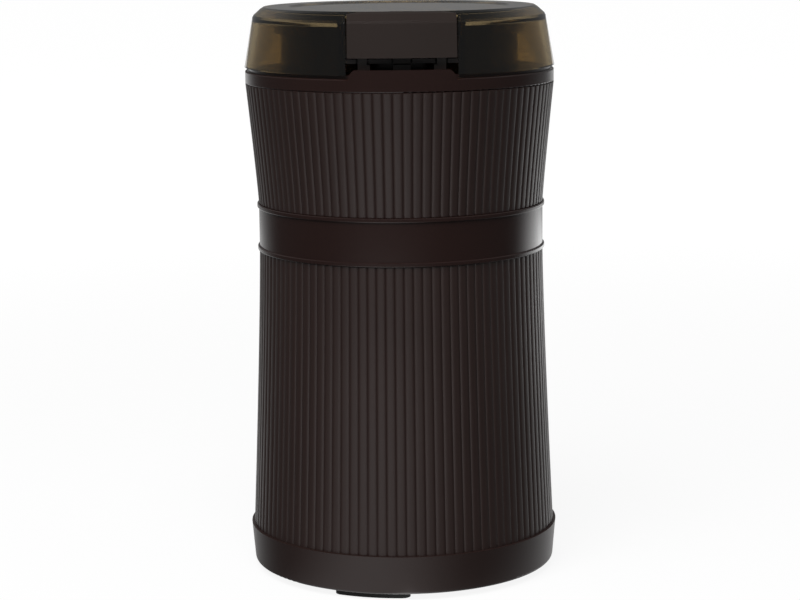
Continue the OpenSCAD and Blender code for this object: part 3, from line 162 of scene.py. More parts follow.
lower_h = band_low - seam_z
upper_h = collar_low - band_high
lower_rows, upper_rows = 26, 12             # rings up the reeds
lower_inner_rows, upper_inner_rows = 8, 6   # and up the plain insides
lid_edge, tab_edge = 0.22, 0.3              # width of their rounded edges
far = 60.0                                  # clear of the whole part, for cutting
over = 1.0                                  # how far a cut or a joined block runs past
hair = 0.02                                 # keeps two skins from lying in one another
skim = 0.001                                # a cut stops this far short of a face


def lower_crest(z):
    """Radius over the reeds of the lower shell."""
    return waist_r + foot_flare * max(0.0, (band_low - z) / lower_h) ** foot_bend


def upper_crest(z):
    """Radius over the reeds of the upper shell."""
    return waist_r + head_flare * max(0.0, (z - band_high) / upper_h) ** head_bend


# ---------------------------------------------------------------- mesh tools

smooth_angle = math.radians(38)             # edges under it are shaded smooth
bevel_angle = math.radians(32)              # edges over it are rounded
tiny = 1e-6                                 # points this close are one point, in millimetres
weld = 1e-4                                 # and this close once a mesh has been cut
box_faces = ((0, 3, 2, 1), (4, 5, 6, 7), (0, 1, 5, 4), (1, 2, 6, 5), (2, 3, 7, 6), (3, 0, 4, 7))


def link(name, mesh):
    """A new object in the scene."""
    obj = bpy.data.objects.new(name, mesh)
    bpy.context.scene.collection.objects.link(obj)
    return obj


def piece(name, points, faces, body, stands_for):
    """A finished mesh in millimetres, placed on its body in place of its node."""
    mesh = bpy.data.meshes.new(name)
    mesh.from_pydata([Vector(p) * mm for p in points], [], faces)
    return settle(link(name, mesh), body, stands_for)


def settle(obj, body, stands_for):
    """Turns the normals outwards, shades smooth between sharp edges and seats the piece."""
    work = bmesh.new()
    work.from_mesh(obj.data)
    bmesh.ops.recalc_face_normals(work, faces=work.faces)
    work.to_mesh(obj.data)
    work.free()
    for face in obj.data.polygons:
        face.use_smooth = True
    obj.data.set_sharp_from_angle(angle=smooth_angle)
    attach(obj, body)
    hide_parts(stands_for)
    return obj


def loose(name, points, faces):
    """A mesh in millimetres that is only used to shape another."""
    mesh = bpy.data.meshes.new(name)
    mesh.from_pydata(points, [], faces)
    work = bmesh.new()
    work.from_mesh(mesh)
    bmesh.ops.remove_doubles(work, verts=work.verts, dist=tiny)
    bmesh.ops.recalc_face_normals(work, faces=work.faces)
    work.to_mesh(mesh)
    work.free()
    return link(name, mesh)


def rounded(points, radii):
    """A line of (r, z) points whose corners are rounded; radii holds one value for each point,
    and the two ends stay as they are."""
    steps, most = 5, 0.49                   # a corner takes no more than this share of a side
    line = [points[0]]
    for before, at, after, radius in zip(points, points[1:], points[2:], radii[1:]):
        a, b, c = Vector(before), Vector(at), Vector(after)
        one, two = (a - b), (c - b)
        half = one.angle(two) / 2
        reach = min(radius / math.tan(half), most * one.length, most * two.length)
        if radius <= 0 or reach < weld:
            line.append(at)
            continue
        start = b + one.normalized() * reach
        stop = b + two.normalized() * reach
        for i in range(steps + 1):
            t = i / steps
            line.append(tuple(start * (1 - t) ** 2 + b * 2 * t * (1 - t) + stop * t ** 2))
    line.append(points[-1])
    return line


def ring_faces(rings, count):
    """Faces between closed rings of count points each, and from the last ring to the first."""
    faces = []
    for k in range(rings):
        below, above = k * count, (k + 1) % rings * count
        for i in range(count):
            j = (i + 1) % count
            faces.append((below + i, below + j, above + j, above + i))
    return faces


def turned(name, section, count=288, centre=(0.0, 0.0)):
    """A closed (r, z) section turned about a vertical axis. Points on the axis are shared."""
    points, faces, rings = [], [], []
    for r, z in section:
        if r < tiny:
            rings.append([len(points)] * count)
            points.append((centre[0], centre[1], z))
            continue
        rings.append(list(range(len(points), len(points) + count)))
        for i in range(count):
            a = math.tau * i / count
            points.append((centre[0] + r * math.cos(a), centre[1] + r * math.sin(a), z))
    for below, above in zip(rings, rings[1:] + rings[:1]):
        for i in range(count):
            j = (i + 1) % count
            corners = []
            for corner in (below[i], below[j], above[j], above[i]):
                if corner not in corners:
                    corners.append(corner)
            if len(corners) > 2:
                faces.append(corners)
    return loose(name, points, faces)


def block(name, corner, opposite):
    """A box between two corners, for cutting and joining."""
    (x0, y0, z0), (x1, y1, z1) = corner, opposite
    points = [(x, y, z) for z in (z0, z1) for x, y in ((x0, y0), (x1, y0), (x1, y1), (x0, y1))]
    return loose(name, points, box_faces)


def combine(obj, other, operation):
    """Joins, cuts or intersects obj with other, which is used up."""
    change = obj.modifiers.new("shape", "BOOLEAN")
    change.operation = operation
    change.solver = "EXACT"
    change.object = other
    bake(obj)
    bpy.data.objects.remove(other)


def bake(obj):
    """Applies the modifiers of obj."""
    shaped = bpy.data.meshes.new_from_object(
        obj.evaluated_get(bpy.context.evaluated_depsgraph_get()))
    obj.modifiers.clear()
    obj.data = shaped


def even(obj):
    """Keeps the shading of large faces true right up to their rounded edges."""
    true = obj.modifiers.new("true", "WEIGHTED_NORMAL")
    true.keep_sharp = True
    bake(obj)


def soften(obj, width):
    """Rounds the sharp edges of obj, then brings it from millimetres to metres."""
    work = bmesh.new()
    work.from_mesh(obj.data)
    bmesh.ops.remove_doubles(work, verts=work.verts, dist=weld)
    bmesh.ops.dissolve_degenerate(work, edges=work.edges, dist=weld)
    work.to_mesh(obj.data)
    work.free()
    edge = obj.modifiers.new("edge", "BEVEL")
    edge.width = width
    edge.segments = 3
    edge.limit_method = "ANGLE"
    edge.angle_limit = bevel_angle
    edge.use_clamp_overlap = True
    bake(obj)
    obj.data.transform(Matrix.Scale(mm, 4))
    return obj


# ---------------------------------------------------------------- reeded shells

# Places across a reed: its crest is at 0, and the grooves beside it are at -1 and 1
reed_places = (-1.0, -0.93, -0.8, -0.6, -0.35, -0.12, 0.12, 0.35, 0.6, 0.8, 0.93)
crown = 4                                   # the higher, the flatter the top of a reed
end_rows = (0.0, 0.05, 0.13, 0.25, 0.42, 0.67, 1.0)     # rings over a reed's rounded end
end_gap = 0.12                              # from the end of a rounding to the next ring


def reed_height(place):
    """Share of the reed's depth at a place across it."""
    return 1 - place ** crown


def reed_growth(t):
    """How far a reed is up at a share of its end's length: a quarter round."""
    t = min(1.0, t)
    return math.sqrt(1 - (1 - t) ** 2)


def reeded_rings(z0, z1, crest, rows, end0, end1):
    """Rings of the reeded skin from z0 to z1, each a (z, radii across one reed) pair."""
    inner0, inner1 = z0 + end0, z1 - end1
    heights = [z0 + share * end0 for share in end_rows]
    heights += [inner0 + end_gap]
    heights += [inner0 + (inner1 - inner0) * i / rows for i in range(1, rows)]
    heights += [inner1 - end_gap]
    heights += [z1 - share * end1 for share in reversed(end_rows)]
    rings = []
    for z in heights:
        grown = min(reed_growth((z - z0) / end0), reed_growth((z1 - z) / end1))
        rings.append((z, [crest(z) - reed_depth * (1 - reed_height(p) * grown)
            for p in reed_places]))
    return rings


def shell(name, rings, posts):
    """A closed reeded shell from rings of (z, radii), with the posts joined to its mesh."""
    points = []
    across = len(reed_places)
    count = reeds * across
    for z, radii in rings:
        for i in range(count):
            reed, step = divmod(i, across)
            a = math.tau / reeds * (reed + (reed_places[step] + 1) / 2)
            r = radii[step]
            points.append((r * math.cos(a), r * math.sin(a), z))
    faces = ring_faces(len(rings), count)
    for post_points, post_faces in posts:
        start = len(points)
        points += post_points
        faces += [tuple(start + i for i in face) for face in post_faces]
    return piece(name, points, faces, "housing", name[:-len("_skin")])


def plain(z, r):
    """A round ring without reeds."""
    return z, [r] * len(reed_places)


def post(angle, ring_r, r, bore_r, z0, z1, web_r, web_foot):
    """A bored post from z0 to z1 with a web out to the shell, as points and faces."""
    count = 40
    a = math.radians(angle)
    cx, cy = ring_r * math.cos(a), ring_r * math.sin(a)
    section = [(bore_r, z0), (r - post_chamfer, z0), (r, z0 + post_chamfer),
        (r, z1 - post_chamfer), (r - post_chamfer, z1), (bore_r, z1)]
    points = []
    for side_r, z in section:
        for i in range(count):
            b = math.tau * i / count
            points.append((cx + side_r * math.cos(b), cy + side_r * math.sin(b), z))
    faces = ring_faces(len(section), count)
    start = len(points)
    web_start, web_end = r * 0.8, web_r - ring_r        # from in the post to in the shell's wall
    for z in (web_foot, z1 - post_chamfer):
        for along, side in ((web_start, -web_half), (web_end, -web_half),
                (web_end, web_half), (web_start, web_half)):
            points.append((cx + along * math.cos(a) - side * math.sin(a),
                cy + along * math.sin(a) + side * math.cos(a), z))
    faces += [tuple(start + i for i in face) for face in box_faces]
    return points, faces


shell_depth = groove_depth + shell_wall
lower_inside = [plain(z, lower_crest(z) - shell_depth)
    for z in (band_low - lower_h * i / lower_inner_rows for i in range(lower_inner_rows + 1))]
lower_shell = shell("lower_housing_skin",
    reeded_rings(seam_z, band_low, lower_crest, lower_rows, foot_round, hidden_round)
    + [plain(band_low, spigot_r), plain(shell_split - edge_cut, spigot_r),
       plain(shell_split, spigot_r - edge_cut), plain(shell_split, waist_bore_r)]
    + lower_inside,
    [post(a, post_ring_r, post_r, post_bore_r, post_foot, post_top, post_web_r, post_web_foot)
     for a in post_angles]
    + [post(a, lug_ring_r, post_r, lug_bore_r, lap_low - lug_h, lap_low, lug_web_r,
        lap_low - lug_h) for a in lug_angles])

upper_inside = [plain(z, upper_crest(z) - shell_depth)
    for z in (collar_low - upper_h * i / upper_inner_rows for i in range(upper_inner_rows + 1))]
upper_shell = shell("upper_housing_skin",
    reeded_rings(band_high, collar_low, upper_crest, upper_rows, hidden_round, hidden_round)
    + upper_inside
    + [plain(upper_bore_foot, lap_bore_r), plain(lap_low, lap_bore_r),
       plain(lap_low, lap_r - edge_cut), plain(lap_low + edge_cut, lap_r),
       plain(shell_split, lap_r), plain(shell_split, spigot_r - edge_cut),
       plain(shell_split + edge_cut, spigot_r), plain(band_high, spigot_r)],
    [post(a, lug_ring_r, post_r, post_bore_r, lap_low, upper_post_top, lug_web_r,
        shell_split) for a in lug_angles]
    + [post(a, collar_lug_ring_r, collar_lug_r, collar_lug_bore_r, collar_lug_z,
        collar_lug_z + lug_h, collar_lug_web_r, collar_lug_z) for a in collar_lug_angles])

# ---------------------------------------------------------------- lid


def lid_outline(shift=0.0):
    """Outside of the lid from its foot to the edge of its top plate."""
    return [(lid_r + shift, 0.0), (shoulder_r + shift, lid_h - shoulder_h),
        (shoulder_r - bevel_foot[0] + shift, lid_h - shoulder_h + bevel_foot[1]),
        (rim_r + bevel_head[0] + shift, lid_h - bevel_head[1]), (rim_r + shift, lid_h)]


def raised(line):
    """The line lifted from the ledge to its height over the table."""
    return [(r, z + ledge_z) for r, z in line]


plate_z = lid_h - lid_plate
brow_r = shoulder_r - lid_wall
ring_out_r = neck_ring_r + neck_ring_t
ring_low = plate_z - neck_ring_h
floor_z = lid_h - recess_depth
outside = rounded([(lid_r - lid_wall, 0.0)] + lid_outline() + [
    (recess_r + recess_slope[0], lid_h), (recess_r - recess_slope[1], floor_z), (0.0, floor_z)],
    [0, 0, 0.5, 0.8, 0.6, 0.4, 0.3, 0.3, 0])
inside = rounded([(0.0, plate_z), (neck_ring_r, plate_z), (neck_ring_r, ring_low),
    (ring_out_r, ring_low), (ring_out_r, plate_z), (brow_r - brow_cut, plate_z),
    (brow_r, plate_z - brow_cut), (lid_r - lid_wall, 0.0)],
    [0, 0.3, 0.25, 0.25, 0.3, 0.4, 0.4, 0])
lid = turned("lid_cover_clear", raised(outside + inside[:-1]))
combine(lid, block("ring_gap", (-notch_x, -far, ledge_z - over),
    (notch_x, neck_ring_end, ledge_z + plate_z - skim)), "DIFFERENCE")
for side in (-1, 1):
    wall = block("return", (side * notch_x, -far, ledge_z), (side * (notch_x + return_t),
        return_y, ledge_z + plate_z + over / 2))
    hull = turned("hull", raised([(0.0, 0.0)] + lid_outline(-hair) + [(0.0, lid_h)]))
    combine(wall, hull, "INTERSECT")
    combine(lid, wall, "UNION")
combine(lid, block("notch", (-notch_x, -far, ledge_z - over),
    (notch_x, notch_y, lid_top + over)), "DIFFERENCE")
scallop = turned("scallop", [(0.0, -far), (scallop_r, -far), (scallop_r, 0.0), (0.0, 0.0)], 96)
scallop.data.transform(Matrix.Translation((0, notch_y + over, lid_top + scallop_rise))
    @ Matrix.Rotation(math.radians(-90), 4, "X"))
combine(lid, scallop, "DIFFERENCE")
even(settle(soften(lid, lid_edge), "lid", "lid_cover"))

# ---------------------------------------------------------------- press tab

tab_sides = 720                             # of the circle that the tab's face is a part of
tab_core_r = 30.0
shift = tab_face_r - lid_r
cap_z = lid_h - tab_cap
face_line = lid_outline(shift)
skin_foot = face_line[0][0] - tab_wall
skin_brow = face_line[1][0] - tab_wall
skin_cap = skin_foot + (skin_brow - skin_foot) * cap_z / face_line[1][1]
tab_line = rounded([(tab_core_r, 0.0)] + face_line + [(tab_core_r, lid_h)],
    [0, 0, 0.5, 0.5, 0.45, 0.35, 0])
tab = turned("press_tab_cap", raised(tab_line), tab_sides, (0.0, shift))
hollow = turned("hollow", raised([(0.0, -over), (skin_foot, -over), (skin_foot, 0.0),
    (skin_cap, cap_z), (0.0, cap_z)]), tab_sides, (0.0, shift))
combine(tab, hollow, "DIFFERENCE")
combine(tab, block("cut", (-tab_x, -far, ledge_z + tab_low),
    (tab_x, tab_back, lid_top + over)), "INTERSECT")
into_cap = ledge_z + cap_z + over
combine(tab, block("striker", (-striker_x, striker_y[0], ledge_z + striker_low),
    (striker_x, striker_y[1], into_cap)), "UNION")
for side in (-1, 1):
    for name, (x0, x1), top in (("leg", leg_x, into_cap), ("hook", hook_x, ledge_z + hook_top)):
        combine(tab, block(name, (side * x0, leg_y[0], ledge_z + leg_low),
            (side * x1, leg_y[1], top)), "UNION")
even(settle(soften(tab, tab_edge), "tab", "press_tab"))

# ---------------------------------------------------------------- springs


def wound(name, places, coil_r, wire_r, z0, z1, turns, body, node):
    """Compression springs of round wire whose end turns lie flat."""
    points, faces = [], []
    steps, round_steps, flat_turns = 28, 10, 0.8
    for x, y in places:
        start = len(points)
        count = int(steps * (turns + 2 * flat_turns))
        for k in range(count + 1):
            turn = k / steps
            rise = min(max((turn - flat_turns) / turns, 0.0), 1.0)
            z = z0 + wire_r + (z1 - z0 - 2 * wire_r) * rise
            a = math.tau * turn
            for i in range(round_steps):
                b = math.tau * i / round_steps
                r = coil_r + wire_r * math.cos(b)
                points.append((x + r * math.cos(a), y + r * math.sin(a),
                    z + wire_r * math.sin(b)))
        for k in range(count):
            for i in range(round_steps):
                j = (i + 1) % round_steps
                ring = start + k * round_steps
                faces.append((ring + i, ring + j, ring + round_steps + j,
                    ring + round_steps + i))
        faces.append(tuple(start + i for i in range(round_steps)))
        faces.append(tuple(start + count * round_steps + i for i in range(round_steps)))
    return piece(name, points, faces, body, node)


frame_top = low("tab_springs").z
tab_coils = wound("tab_springs_wire", tab_spring_places, tab_spring_r, tab_spring_wire_r,
    frame_top, high("tab_springs").z - spring_slack, spring_turns, "lid", "tab_springs")
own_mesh(tab_coils)
guide_top = low("plunger_spring").z
plunger_coil = wound("plunger_spring_wire", (plunger_spring_place,), plunger_spring_r,
    plunger_spring_wire_r, guide_top, high("plunger_spring").z - spring_slack, spring_turns,
    "housing", "plunger_spring")
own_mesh(plunger_coil)

# ---------------------------------------------------------------- finishes


class Wire:
    """A socket of a material's nodes; sums with it add the Math nodes."""

    def __init__(self, finish, socket):
        self.finish, self.socket = finish, socket

    def sum(self, operation, a, b):
        return self.finish.add("Math", {"operation": operation}, {0: a, 1: b})

    def __add__(self, other):
        return self.sum("ADD", self, other)

    def __sub__(self, other):
        return self.sum("SUBTRACT", self, other)

    def __rsub__(self, other):
        return self.sum("SUBTRACT", other, self)

    def __mul__(self, other):
        return self.sum("MULTIPLY", self, other)

    __radd__ = __add__
    __rmul__ = __mul__


class Finish:
    """The nodes of one material or of the world."""

    def __init__(self, owner):
        self.owner = owner
        owner.use_nodes = True
        self.tree = owner.node_tree
        self.tree.nodes.clear()

    def add(self, kind, settings=None, sockets=None, out=0):
        """Adds a node: its type, then its settings, then the values or links of its sockets."""
        node = self.tree.nodes.new("ShaderNode" + kind)
        for name, value in (settings or {}).items():
            if name == "stops":
                self.stops(node.color_ramp, value)
            else:
                setattr(node, name, value)
        for name, value in (sockets or {}).items():
            if isinstance(value, Wire):
                self.tree.links.new(value.socket, node.inputs[name])
            else:
                node.inputs[name].default_value = value
        return Wire(self, node.outputs[out]) if node.outputs else None

    def stops(self, ramp, values):
        while len(ramp.elements) > 1:
            ramp.elements.remove(ramp.elements[-1])
        for i, (place, shade) in enumerate(values):
            stop = ramp.elements[0] if i == 0 else ramp.elements.new(place)
            stop.position = place
            stop.color = (shade, shade, shade, 1)

    def place(self):
        return self.add("TexCoord", out="Object")

    def stretched(self, x, y, z):
        """Object coordinates scaled along each axis."""
        return self.add("Mapping", {}, {"Vector": self.place(), "Scale": (x, y, z)})

    def along(self, axis, vector):
        """One coordinate of a vector."""
        return self.add("SeparateXYZ", {}, {0: vector}, out=axis)

    def length(self, vector):
        return self.add("VectorMath", {"operation": "LENGTH"}, {0: vector}, out=1)

    def noise(self, vector, scale, detail=3.0, rough=0.55):
        return self.add("TexNoise", {}, {"Vector": vector, "Scale": scale, "Detail": detail,
            "Roughness": rough})

    def ramp(self, value, *stops):
        return self.add("ValToRGB", {"stops": stops}, {"Fac": value})

    def fade(self, value, start, end, least=0.0, most=1.0):
        """Goes softly from least to most while value goes from start to end."""
        return self.add("MapRange", {"interpolation_type": "SMOOTHSTEP"},
            {0: value, 1: start, 2: end, 3: least, 4: most})

    def tone(self, amount, one, two):
        """A colour between two, by amount."""
        return self.add("Mix", {"data_type": "RGBA"}, {0: amount, 6: (*one, 1), 7: (*two, 1)},
            out=2)

    def bump(self, height, distance, strength):
        return self.add("Bump", {}, {"Height": height, "Distance": distance,
            "Strength": strength})

    def finish(self, **values):
        """The surface itself; underscores stand for the spaces in the names of its sockets."""
        surface = self.add("BsdfPrincipled", {},
            {name.replace("_", " "): value for name, value in values.items()})
        self.add("OutputMaterial", {}, {"Surface": surface})
        return self.owner


def new_finish(name):
    return Finish(bpy.data.materials.new(name))


def moulded(name, shade, deep, roughness, grain=2600.0, depth=0.000012, shine=0.5):
    """Moulded plastic: faint flow in its colour, uneven polish and a fine spark-eroded grain."""
    f = new_finish(name)
    at = f.place()
    flow = f.noise(at, 34.0, 4.0)
    handled = f.noise(at, 9.0, 5.0, 0.6)
    texture = f.noise(at, grain, 2.0)
    return f.finish(
        Base_Color=f.tone(flow, deep, shade),
        Roughness=roughness - 0.05 + 0.1 * handled + 0.04 * texture,
        Specular_IOR_Level=shine,
        Normal=f.bump(texture, depth, 0.6))


def clear_amber(name):
    """Clear amber plastic, polished, with faint waves in it from the mould, and deeper in
    colour at the brow, where the wall is thickest."""
    f = new_finish(name)
    at = f.place()
    wave = f.noise(at, 60.0, 2.0)
    wipe = f.noise(f.stretched(30.0, 30.0, 160.0), 5.0, 4.0)
    level = f.add("VectorMath", {"operation": "MULTIPLY"}, {0: at, 1: (1, 1, 0)})
    brow = (f.fade(f.along("Z", at), (lid_top - 3.4) * mm, (lid_top - 2.7) * mm)
        * f.fade(f.length(level), 37.5 * mm, 39.5 * mm))
    amber = f.tone(wave, (0.185, 0.136, 0.066), (0.22, 0.163, 0.08))
    return f.finish(
        Base_Color=f.add("VectorMath", {"operation": "SCALE"},
            {0: amber, "Scale": 1 - 0.42 * brow}),
        Roughness=0.02 + 0.05 * wipe,
        IOR=1.5,
        Transmission_Weight=1.0,
        Normal=f.bump(wave, 0.00004, 0.3))


def rubber(name, shade, dust):
    """Soft rubber: matt, with a dry bloom and a fine pitted skin."""
    f = new_finish(name)
    at = f.place()
    bloom = f.noise(at, 120.0, 5.0, 0.65)
    pits = f.add("TexVoronoi", {}, {"Vector": at, "Scale": 1500.0})
    return f.finish(
        Base_Color=f.tone(f.ramp(bloom, (0.35, 0.0), (0.75, 1.0)), shade, dust),
        Roughness=0.72 + 0.18 * bloom,
        Specular_IOR_Level=0.35,
        Normal=f.bump(pits, 0.00003, 0.5))


def steel(name, shade, dark, roughness, along, scratch=0.000004):
    """Worked metal: fine scratches that run along one direction, and a faint cloud of wear."""
    f = new_finish(name)
    grain = f.noise(f.stretched(*along), 1.0, 3.0, 0.7)
    cloud = f.noise(f.place(), 60.0, 4.0)
    return f.finish(
        Base_Color=f.tone(cloud, dark, shade),
        Metallic=1.0,
        Roughness=roughness + 0.14 * (grain - 0.5) + 0.06 * cloud,
        Normal=f.bump(grain, scratch, 0.5))


def turned_steel(name, shade, dark, roughness, pitch, depth=0.000006):
    """Metal with rings round the vertical axis, left by a lathe or a drawing die."""
    f = new_finish(name)
    rings = f.add("TexWave", {"wave_type": "RINGS", "rings_direction": "Z"},
        {"Vector": f.place(), "Scale": pitch, "Distortion": 1.5, "Detail": 3.0,
         "Detail Scale": 2.0})
    cloud = f.noise(f.place(), 45.0, 4.0)
    return f.finish(
        Base_Color=f.tone(cloud, dark, shade),
        Metallic=1.0,
        Roughness=roughness + 0.1 * (rings - 0.5) + 0.06 * cloud,
        Normal=f.bump(rings, depth, 0.4))


def laminated(name):
    """Stacked sheets: fine level lines between them, with a film of varnish and rust."""
    f = new_finish(name)
    sheets = f.add("TexWave", {"bands_direction": "Z"},
        {"Vector": f.place(), "Scale": 630.0, "Distortion": 0.4})
    film = f.noise(f.place(), 140.0, 5.0)
    return f.finish(
        Base_Color=f.tone(film, (0.13, 0.12, 0.115), (0.24, 0.2, 0.17)),
        Metallic=0.8,
        Roughness=0.42 + 0.2 * film,
        Normal=f.bump(sheets, 0.00006, 0.7))


def enamelled_wire(name):
    """Wound copper wire under red-brown enamel."""
    f = new_finish(name)
    turns = f.add("TexWave", {"bands_direction": "Z"},
        {"Vector": f.place(), "Scale": 520.0, "Distortion": 3.0, "Detail": 2.0})
    film = f.noise(f.place(), 200.0, 4.0)
    return f.finish(
        Base_Color=f.tone(film, (0.36, 0.1, 0.045), (0.55, 0.2, 0.09)),
        Metallic=0.7,
        Roughness=0.28 + 0.14 * film,
        Coat_Weight=0.5,
        Coat_Roughness=0.12,
        Normal=f.bump(turns, 0.0001, 0.8))


def fibre_board(name):
    """Phenolic board: brown resin with the weave of its cloth."""
    f = new_finish(name)
    at = f.place()
    warp = f.add("TexWave", {"bands_direction": "X"}, {"Vector": at, "Scale": 330.0})
    weft = f.add("TexWave", {"bands_direction": "Y"}, {"Vector": at, "Scale": 330.0})
    weave = warp * weft
    resin = f.noise(at, 80.0, 4.0)
    return f.finish(
        Base_Color=f.tone(resin, (0.12, 0.05, 0.02), (0.2, 0.09, 0.035)),
        Roughness=0.4 + 0.15 * weave,
        Normal=f.bump(weave, 0.00003, 0.5))


def pressed_carbon(name):
    """Brush carbon: dark grey grains with a dull sheen."""
    f = new_finish(name)
    grains = f.add("TexVoronoi", {}, {"Vector": f.place(), "Scale": 2400.0})
    return f.finish(
        Base_Color=f.tone(grains, (0.018, 0.018, 0.02), (0.05, 0.05, 0.054)),
        Metallic=0.3,
        Roughness=0.5 + 0.2 * grains,
        Normal=f.bump(grains, 0.00003, 0.6))


upright = (900.0, 900.0, 30.0)              # scratches that run along the height
lengthwise = (40.0, 1400.0, 1400.0)         # and along the blade and the lever
finishes = {
    "housing_plastic": moulded("reeded_brown_plastic", (0.0165, 0.0086, 0.0073),
        (0.0118, 0.0058, 0.0049), 0.42),
    "trim_plastic": moulded("polished_brown_plastic", (0.0145, 0.0068, 0.0058),
        (0.0108, 0.005, 0.0043), 0.2, 2000.0, 0.000004, shine=0.4),
    "lid_plastic": clear_amber("clear_amber_plastic"),
    "tab_plastic": moulded("satin_brown_plastic", (0.015, 0.0101, 0.0085),
        (0.0114, 0.0076, 0.0064), 0.38, 3000.0, 0.00001),
    "frame_plastic": moulded("inner_brown_plastic", (0.013, 0.0095, 0.0085),
        (0.009, 0.0065, 0.006), 0.4),
    "foot_rubber": rubber("foot_rubber_black", (0.012, 0.012, 0.012), (0.035, 0.034, 0.033)),
    "seal_rubber": rubber("seal_rubber_grey", (0.03, 0.03, 0.03), (0.07, 0.07, 0.068)),
    "gland_rubber": rubber("gland_rubber_brown", (0.016, 0.013, 0.012), (0.04, 0.036, 0.034)),
    "screw_steel": turned_steel("zinc_plated_steel", (0.62, 0.62, 0.64), (0.48, 0.49, 0.52),
        0.3, 900.0),
    "bowl_steel": turned_steel("drawn_stainless", (0.7, 0.69, 0.67), (0.6, 0.59, 0.575),
        0.2, 260.0),
    "blade_steel": steel("ground_stainless", (0.74, 0.74, 0.74), (0.6, 0.6, 0.61), 0.24,
        lengthwise),
    "spring_steel": steel("bright_wire", (0.55, 0.55, 0.56), (0.42, 0.42, 0.44), 0.26, upright),
    "lever_steel": steel("rolled_strip", (0.72, 0.71, 0.69), (0.6, 0.59, 0.575), 0.28,
        lengthwise),
    "shaft_steel": turned_steel("ground_shaft_steel", (0.66, 0.66, 0.67), (0.55, 0.55, 0.57),
        0.2, 1200.0),
    "lamination_steel": laminated("varnished_laminations"),
    "bracket_zinc": steel("cast_zinc", (0.5, 0.5, 0.51), (0.38, 0.38, 0.4), 0.46,
        (300.0, 300.0, 300.0), 0.00002),
    "bracket_phenolic": fibre_board("phenolic_board"),
    "copper_wire": enamelled_wire("enamelled_copper"),
    "commutator_copper": turned_steel("worn_copper", (0.8, 0.42, 0.26), (0.5, 0.23, 0.13),
        0.3, 1500.0),
    "bush_bronze": steel("sintered_bronze", (0.6, 0.42, 0.2), (0.44, 0.29, 0.13), 0.42,
        (700.0, 700.0, 700.0), 0.00001),
    "nut_brass": turned_steel("turned_brass", (0.78, 0.6, 0.28), (0.62, 0.45, 0.19), 0.26,
        1100.0),
    "carbon": pressed_carbon("brush_carbon"),
    "fan_plastic": moulded("fan_nylon", (0.6, 0.58, 0.52), (0.5, 0.48, 0.42), 0.42),
    "washer_plastic": moulded("washer_acetal", (0.72, 0.7, 0.64), (0.62, 0.6, 0.54), 0.36),
    "hub_plastic": moulded("hub_black_nylon", (0.02, 0.019, 0.018), (0.012, 0.0115, 0.011),
        0.38),
    "switch_plastic": moulded("switch_phenolic", (0.03, 0.028, 0.027), (0.018, 0.017, 0.016),
        0.34),
    "switch_button_plastic": moulded("switch_button_red", (0.35, 0.03, 0.02),
        (0.27, 0.02, 0.014), 0.35),
    "suppressor_case": moulded("suppressor_yellow", (0.6, 0.4, 0.06), (0.5, 0.32, 0.045), 0.3),
    "terminal_plastic": moulded("terminal_ivory", (0.62, 0.58, 0.47), (0.52, 0.48, 0.38), 0.4),
    "clamp_plastic": moulded("clamp_black_nylon", (0.02, 0.019, 0.019), (0.012, 0.012, 0.012),
        0.44),
}

# The base is smoother than the reeded shells, though it is moulded in the same plastic
satin_base = moulded("satin_base_plastic", (0.018, 0.0093, 0.0081), (0.012, 0.006, 0.005), 0.4)
for name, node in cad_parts.items():
    for held in node.material_slots:
        made = finishes[held.material.name.split(".")[0]]
        held.link = "OBJECT"
        held.material = satin_base if name == "base_cover" else made
for part, kind in ((lower_shell, "housing_plastic"), (upper_shell, "housing_plastic"),
        (lid, "lid_plastic"), (tab, "tab_plastic"), (tab_coils, "spring_steel"),
        (plunger_coil, "spring_steel")):
    part.data.materials.clear()
    part.data.materials.append(finishes[kind])

# ---------------------------------------------------------------- studio


light = bpy.data.lights.new("top_soft_box", "AREA")
light.shape = "RECTANGLE"
light.size, light.size_y = 1.1, 1.1
light.energy = 36.0
soft_box = link("top_soft_box", light)
middle = Vector((0, 0, 0.09))
soft_box.location = (-0.25, -0.8, 1.25)
soft_box.rotation_euler = (middle - soft_box.location).to_track_quat("-Z", "Y").to_euler()
soft_box.visible_camera = False
soft_box.visible_glossy = False


def seen(f, ahead):
    """1 for what the camera sees, or sees through a clear piece. Light that has been
    reflected before it goes through shows the white only where ahead is 1."""
    bounces = f.add("LightPath", out="Glossy Depth") + f.add("LightPath", out="Diffuse Depth")
    straight = f.add("Math", {"operation": "LESS_THAN"}, {0: bounces, 1: 0.5})
    through = f.add("LightPath", out="Is Transmission Ray")
    return f.add("LightPath", out="Is Camera Ray") + through * (
        straight + (1 - straight) * ahead)


def mirrored(f):
    """1 for what shows in a reflection."""
    return f.add("LightPath", out="Is Glossy Ray")


def painted_bright_side(f, at):
    """Painted light on the floor, which shows only in a reflection: brighter at the back and the
    right, with a painted bright patch at the back right. Angles are in radians round the part, 0
    straight behind it."""
    turn = f.add("Math", {"operation": "ARCTAN2"}, {0: f.along("X", at),
        1: f.along("Y", at) + 0.05})
    away = f.length(at)
    sector = f.fade(turn, -1.1, -0.3) * f.fade(turn, 1.5, 0.35)
    near = f.fade(away, 0.95, 0.6, 0.25, 0.9) + f.fade(away, 0.3, 0.1, 0.0, 0.4)
    from_card = f.add("VectorMath", {"operation": "DISTANCE"}, {0: at, 1: (0.45, 0.45, 0)},
        out=1)
    # A painted bright patch on the floor at the back right, standing in for a lit card.
    painted_card_patch = f.fade(from_card, 0.4, 0.12, 0.0, 1.7)
    beyond = f.fade(away, 0.9, 1.25, 0.0, 0.5)
    centred = f.fade(f.add("Math", {"operation": "ABSOLUTE"}, {0: turn}), 0.8, 0.3)
    return sector * near + beyond * centred + painted_card_patch


